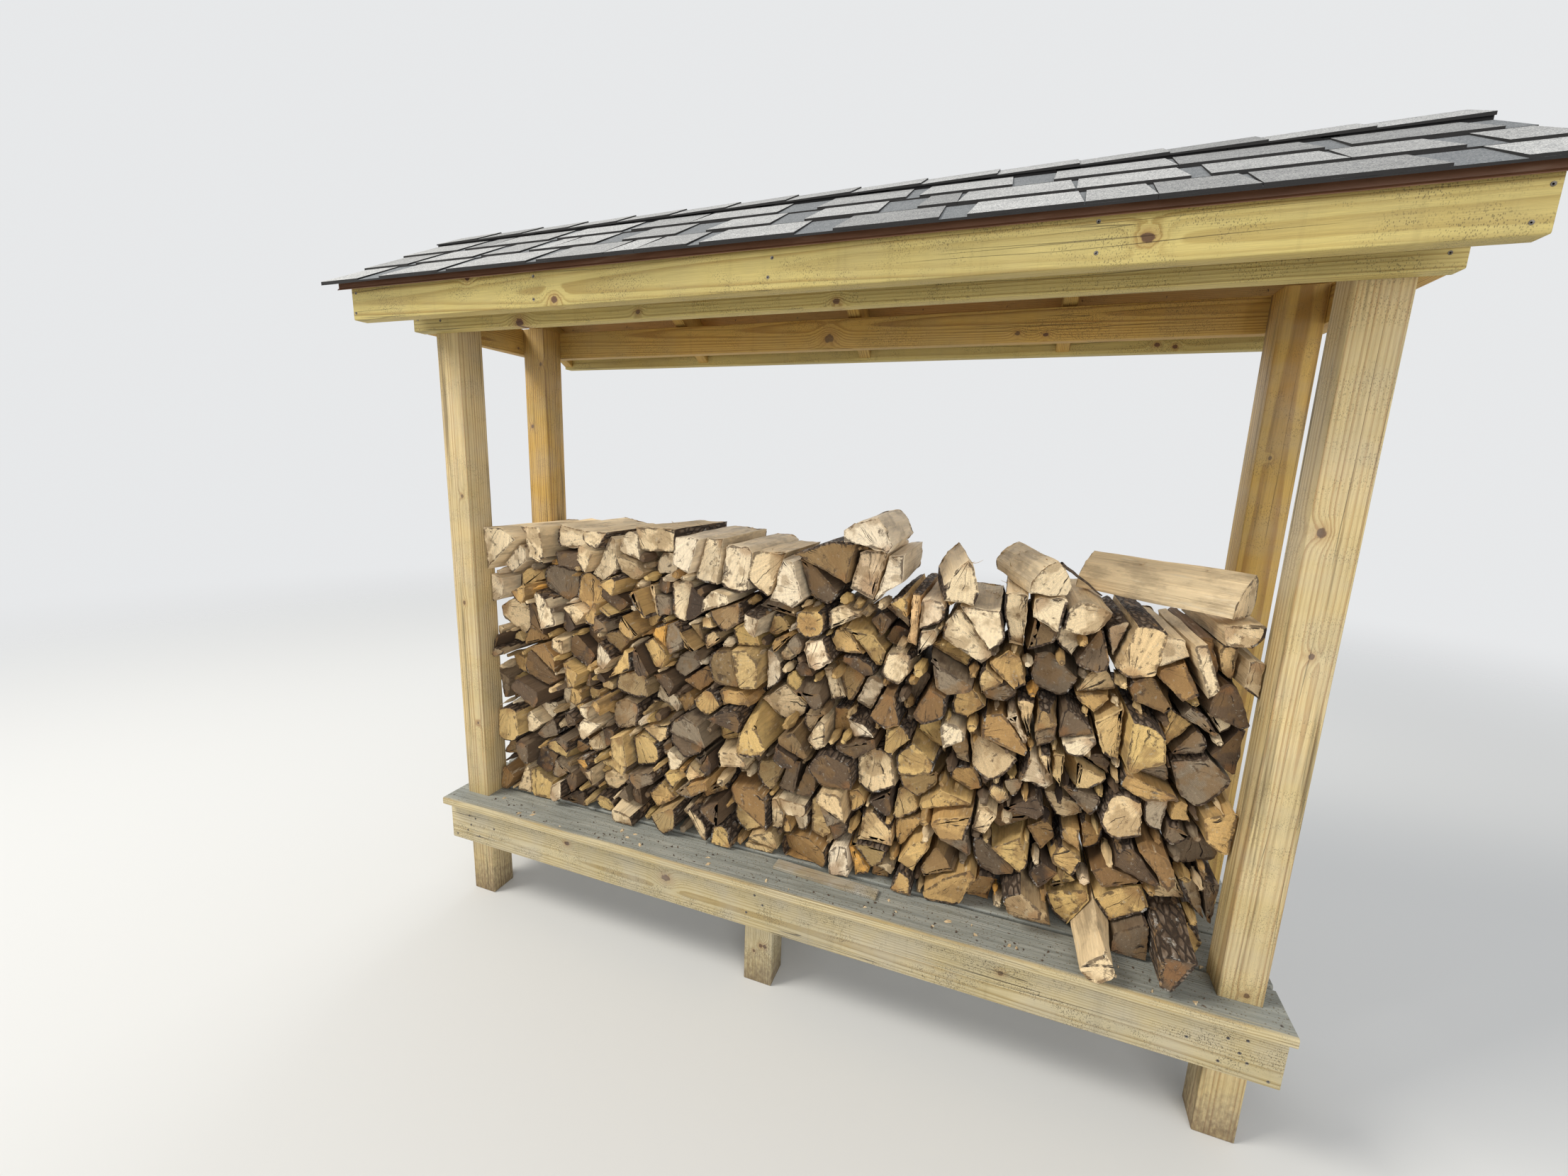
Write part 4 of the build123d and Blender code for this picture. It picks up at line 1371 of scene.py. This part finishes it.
# %% [markdown]
# ## Nails and screws
# Heads sit flush in the long boards where these meet rafters, posts and joists, and in the deck over
# each joist. A head is a short disc with an eased rim. One helper presses a head into a face, and all
# heads of a kind become one mesh, because each is only a few dozen faces.

# %% One head, and all heads of a kind
head_height = 0.0009
rim_share, recess_share = 0.8, 0.45
steel_tones = [(0.3, (0.10, 0.085, 0.07, 1)), (0.7, (0.32, 0.30, 0.27, 1))]
nail_steel, tree, shader = new_material("weathered galvanised steel", roughness=0.5, metallic=0.7)
spots = grown(tree, object_place(tree), (300, 300, 300), detail=3.0)
tree.links.new(ramp(tree, spots, steel_tones), shader["Base Color"])
tree.links.new(sloped(tree, spots, 0.5, 0.3), shader["Roughness"])


def press_in(shape, spot, outward, radius):
    """A round head with an eased rim and a small recess, its face just proud of the wood."""
    turn = Z.rotation_difference(outward).to_matrix().to_4x4()
    made = bmesh.ops.create_cone(
        shape, cap_ends=True, segments=10, radius1=radius, radius2=radius * rim_share,
        depth=2 * head_height, matrix=Matrix.Translation(spot) @ turn)
    around = [face for vertex in made["verts"] for face in vertex.link_faces]
    top = max(around, key=lambda face: face.normal.dot(outward))
    bmesh.ops.inset_individual(shape, faces=[top], thickness=radius * recess_share, depth=-head_height)


def heads_piece(name, spots, radius):
    """All heads of a kind as one piece."""
    shape = bmesh.new()
    for spot, outward in spots:
        press_in(shape, spot, outward, radius)
        shape.normal_update()
    piece = finished(shape, name, [nail_steel], smooth_below=30)
    print(name, "heads:", len(spots), "faces:", len(piece.data.polygons))


def middle_level(node):
    """The height half-way up a node."""
    low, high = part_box(node)
    return (low.z + high.z) / 2


def jitter(chance, spread):
    """A small random shift to either side."""
    return chance.uniform(-spread, spread)


print("heads stand", head_height * 1000, "mm proud")

# %% [markdown]
# The clusters at the corners and at the middle leg follow the real store, and a carpenter's hand is
# never exact, so most places get a small random shift.

# %% Heads in the boards and the deck
nail_chance = random.Random(31)
nail_radius, screw_radius = 0.0042, 0.0040
front_boards = ("fascia_front", "header_front", "rim_front")
eave_face, header_face, rim_face = (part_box(node)[0].y for node in front_boards)
fascia_level, header_level = middle_level("fascia_front"), middle_level("header_front")
rafter_places = (-1.2, -0.59, 0.02, 0.63, 1.2)
joist_places = (-1.2, -0.665, -0.055, 0.555, 1.2)
header_places = (-1.195, -1.150, -1.105, 1.105, 1.150, 1.195)
corner_start, corner_level = 1.031, 0.282
corner_cluster = (
    (0.0, 0.002), (0.075, 0.025), (0.109, 0.031), (0.098, -0.004), (0.067, -0.034), (0.118, -0.022),
    (0.162, -0.048))
leg_cluster = ((-0.080, 0.262), (-0.030, 0.300), (-0.055, 0.325))
notch_start, notch_inside, notch_outside = 1.1, 0.13, 0.235

board_spots = []
for side in (-1, 1):
    out = Vector((0, side, 0))
    places = [(x, eave_face, fascia_level + up, 0.008, 0.006)
              for x in rafter_places for up in (-0.022, 0.022)]
    places += [(x, header_face, header_level, 0.008, 0.03) for x in header_places]
    places += [(end * (corner_start + x), rim_face, corner_level + z, 0.004, 0.005)
               for end in (-1, 1) for x, z in corner_cluster]
    for x, face, z, aside, upward in places:
        spot = (x + jitter(nail_chance, aside), -side * face, z + jitter(nail_chance, upward))
        board_spots.append((Vector(spot), out))
    board_spots += [(Vector((x, -side * rim_face, z)), out) for x, z in leg_cluster]
heads_piece("nail_heads", board_spots, nail_radius)

deck_spots = []
for node in deck_boards:
    low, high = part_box(node)
    for x in joist_places:
        for share in (0.2, 0.8):
            y = low.y + share * (high.y - low.y)
            if abs(x) < notch_start or abs(y) > notch_outside or abs(y) < notch_inside:
                spot = (x + jitter(nail_chance, 0.006), y + jitter(nail_chance, 0.005), deck_top)
                deck_spots.append((Vector(spot), Z))
heads_piece("deck_screw_heads", deck_spots, screw_radius)

# %% [markdown]
# ## Nail tips under the roof
# Shingle nails are a little longer than the plywood is thick, so rows of sharp tips stick out of the
# underside, between the rafters. Each is a thin cone that starts in the plywood.

# %% Nail tips
tip_rows, tips_in_row = (0.10, 0.16, 0.27, 0.36), 11
first_tip, tip_step = -1.12, 0.224
tip_length, tip_radius, tip_point = 0.009, 0.0016, 0.0003
rafter_clearance = 0.035
sheathing_thickness, tip_cover = 0.012, 0.001
tips = bmesh.new()
for side in (-1, 1):
    downward = -Vector((0, side * sin(roof_pitch), cos(roof_pitch)))
    turn = Z.rotation_difference(downward).to_matrix().to_4x4()
    for distance in tip_rows:
        for count in range(tips_in_row):
            x = first_tip + count * tip_step + jitter(nail_chance, 0.02)
            if min(abs(x - place) for place in rafter_places) < rafter_clearance:
                continue
            y = distance + jitter(nail_chance, 0.004)
            underside = roof_height(y) - (sheathing_thickness - tip_cover) / cos(roof_pitch)
            place = Matrix.Translation(Vector((x, side * y, underside)) + downward * 0.0035)
            bmesh.ops.create_cone(
                tips, cap_ends=True, segments=6, radius1=tip_radius, radius2=tip_point, depth=tip_length,
                matrix=place @ turn)
piece = finished(tips, "roofing_nail_tips", [nail_steel])
print("nail tips:", len(piece.data.polygons) // 8)

# %% [markdown]
# ## What falls off the wood
# Handling firewood leaves pale chips, dark bark crumbs and torn fibres, and a scrap of board lies on
# the deck before the stack. A chip is a flat wedge, made as a cone with three or four sides that is
# squashed and turned, because that gives sharp unequal corners with very few faces.

# %% Chips and crumbs
before_stack, beside_stack = (0.205, 0.285), (0.05, 0.2)
stack_end, deck_end = 1.06, 1.20
front_share = 0.7
chip_tones = [(0.3, (0.32, 0.20, 0.09, 1)), (0.6, (0.74, 0.58, 0.36, 1))]
crumb_tones = [(0.3, (0.035, 0.024, 0.016, 1)), (0.7, (0.14, 0.10, 0.07, 1))]


def speckled(name, roughness, scale, detail, stops):
    """A finish of soft noise through a few tones."""
    material, tree, shader = new_material(name, roughness=roughness)
    tone = grown(tree, object_place(tree), scale, detail=detail)
    tree.links.new(ramp(tree, tone, stops), shader["Base Color"])
    return material


def chip(shape, spot, size, turn, sides):
    """A flat wedge that lies on its widest face."""
    known = len(shape.verts)
    bmesh.ops.create_cone(shape, cap_ends=True, segments=sides, radius1=0.5, radius2=0.3, depth=1.0)
    verts = list(shape.verts)[known:]
    bmesh.ops.scale(shape, vec=size, verts=verts)
    bmesh.ops.rotate(shape, cent=(0, 0, 0), matrix=Matrix.Rotation(turn, 3, "Z"), verts=verts)
    bmesh.ops.translate(shape, vec=Vector(spot) + Vector((0, 0, size[2] / 2)), verts=verts)


def litter(name, finish, count, seed, sizes):
    """Chips or crumbs strewn on the deck, most of them before the stack."""
    chance = random.Random(seed)
    shape = bmesh.new()
    for _ in range(count):
        side = -1 if chance.random() < front_share else 1
        x = chance.uniform(-stack_end, deck_end)
        depth = chance.uniform(*(before_stack if abs(x) < stack_end else beside_stack))
        length = chance.uniform(*sizes)
        size = (length, length * chance.uniform(0.35, 0.7), chance.uniform(0.0012, 0.004))
        turn, sides = chance.uniform(0, pi), chance.choice((3, 4, 5))
        chip(shape, (x, side * depth, deck_top - 0.0002), size, turn, sides)
    piece = finished(shape, name, [finish], smooth_below=20)
    print(name, "pieces:", count, "faces:", len(piece.data.polygons))


chip_wood = speckled("pale chips", 0.85, (45, 160, 160), 3.0, chip_tones)
crumb_bark = speckled("bark crumbs", 0.95, (90, 90, 90), 4.0, crumb_tones)
litter("deck_chips", chip_wood, 46, 41, (0.006, 0.024))
litter("deck_crumbs", crumb_bark, 150, 42, (0.003, 0.011))

# %% [markdown]
# The scrap is a cube, scaled, eased and turned a little. It has lain in the rain like the deck.

# %% Scrap of board
scrap_size = Vector((0.31, 0.040, 0.010))
scrap_spot, scrap_turn = (0.133, -0.196), radians(-3.3)
scrap_tones = ((0.36, 0.29, 0.19, 1), (0.22, 0.165, 0.10, 1))
scrap = bmesh.new()
bmesh.ops.create_cube(scrap, size=1.0)
bmesh.ops.scale(scrap, vec=scrap_size, verts=scrap.verts)
ease(scrap, scrap.edges[:], 0.0012)
bmesh.ops.rotate(scrap, cent=(0, 0, 0), matrix=Matrix.Rotation(scrap_turn, 3, "Z"), verts=scrap.verts)
bmesh.ops.translate(scrap, vec=(*scrap_spot, deck_top + 0.005), verts=scrap.verts)
greyed = weathering(0.8, 0.0, 0.9, 1.0)
scrap_pine = pine("board scrap pine", "deck_board_1", X, Y, *scrap_tones, greyed, chance=nail_chance)
piece = finished(scrap, "board_scrap", [scrap_pine], smooth_below=30)
print("scrap faces:", len(piece.data.polygons))

# %% [markdown]
# Axe and frost tear thin strips off the upper logs, and they curl up or hang over the edge. Each is
# a narrow strip that starts inside a log's top, ends in a point and curls up along its length.

# %% Torn strips on the top logs
strip_chance = random.Random(51)
strip_count, strip_thickness, strip_point = 70, 0.0014, 0.15
strip_lengths, strip_widths, strip_lifts = (0.012, 0.05), (0.0012, 0.005), (0.002, 0.016)
lowest_top, level_enough = 1.15, 0.5


def strip(shape, root, heading, length, width, lift):
    """A pointed strip from a root along a heading, curling up."""
    known = len(shape.verts)
    bmesh.ops.create_cube(shape, size=1.0)
    verts = list(shape.verts)[known:]
    edges = [edge for edge in shape.edges if edge.verts[0] in verts]
    lengthwise = [edge for edge in edges if abs(edge.verts[0].co.x - edge.verts[1].co.x) > 0.5]
    bmesh.ops.subdivide_edges(shape, edges=lengthwise, cuts=3, use_grid_fill=True)
    turn = Matrix.Rotation(heading, 3, "Z")
    for vertex in list(shape.verts)[known:]:
        along = vertex.co.x + 0.5
        narrow = 1 - (1 - strip_point) * along
        up = vertex.co.z * strip_thickness * narrow + lift * along * along
        vertex.co = root + turn @ Vector((along * length, vertex.co.y * width * narrow, up))


strips = bmesh.new()
above_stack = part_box("loose_logs")[1].z + 0.02
made = 0
while made < strip_count:
    x = strip_chance.choice((strip_chance.uniform(-1.0, 1.05), strip_chance.gauss(0.6, 0.14)))
    spot = Vector((x, strip_chance.uniform(-0.19, 0.10), above_stack))
    hit, normal, _, _ = surface.ray_cast(spot, -Z)
    if hit is None or normal.z < level_enough or hit.z < lowest_top:
        continue
    heading = strip_chance.gauss(-pi / 2, 0.7)
    size = [strip_chance.uniform(*limits) for limits in (strip_lengths, strip_widths, strip_lifts)]
    strip(strips, hit - Z * 0.001, heading, *size)
    made += 1
piece = finished(strips, "torn_strips", [chip_wood], smooth_below=40)
print("torn strips:", made, "faces:", len(piece.data.polygons))

# %% [markdown]
# A twig lies over the upper logs. It starts as a circle that is extruded from station to station,
# each a little thinner and shifted a little aside and upwards. Rays from above give the height of the
# wood under each station, and the twig is a straight line over the highest of them.

# %% Twig
twig_start, twig_end = Vector((0.655, -0.165)), Vector((0.765, -0.06))
twig_radius, twig_taper = 0.0045, 0.9
stations = 9
heights = []
for count in range(stations):
    spot = twig_start.lerp(twig_end, count / (stations - 1))
    heights.append(wood_below(spot.x, spot.y, over_stack) + twig_radius)
first, last = heights[0], heights[-1]
straight = [first + (last - first) * count / (stations - 1) for count in range(stations)]
lift = max(height - level for height, level in zip(heights, straight))
heading = Vector((twig_end.x - twig_start.x, twig_end.y - twig_start.y, last - first))
turn = Z.rotation_difference(heading).to_matrix().to_4x4()
place = Matrix.Translation((twig_start.x, twig_start.y, first + lift))
twig = bmesh.new()
ring = bmesh.ops.create_circle(twig, cap_ends=True, segments=7, radius=twig_radius, matrix=place @ turn)
tip = ring["verts"][0].link_faces[0]
for count in range(1, stations):
    tip = bmesh.ops.extrude_discrete_faces(twig, faces=[tip])["faces"][0]
    wander = Vector((jitter(strip_chance, 0.004), jitter(strip_chance, 0.004), 0.002))
    bmesh.ops.translate(twig, vec=heading / (stations - 1) + wander, verts=tip.verts)
    middle = Matrix.Translation(-tip.calc_center_median())
    bmesh.ops.scale(twig, vec=(twig_taper,) * 3, space=middle, verts=tip.verts)
bmesh.ops.recalc_face_normals(twig, faces=twig.faces)
piece = finished(twig, "twig", [crumb_bark], smooth_below=50)
print("twig faces:", len(piece.data.polygons))
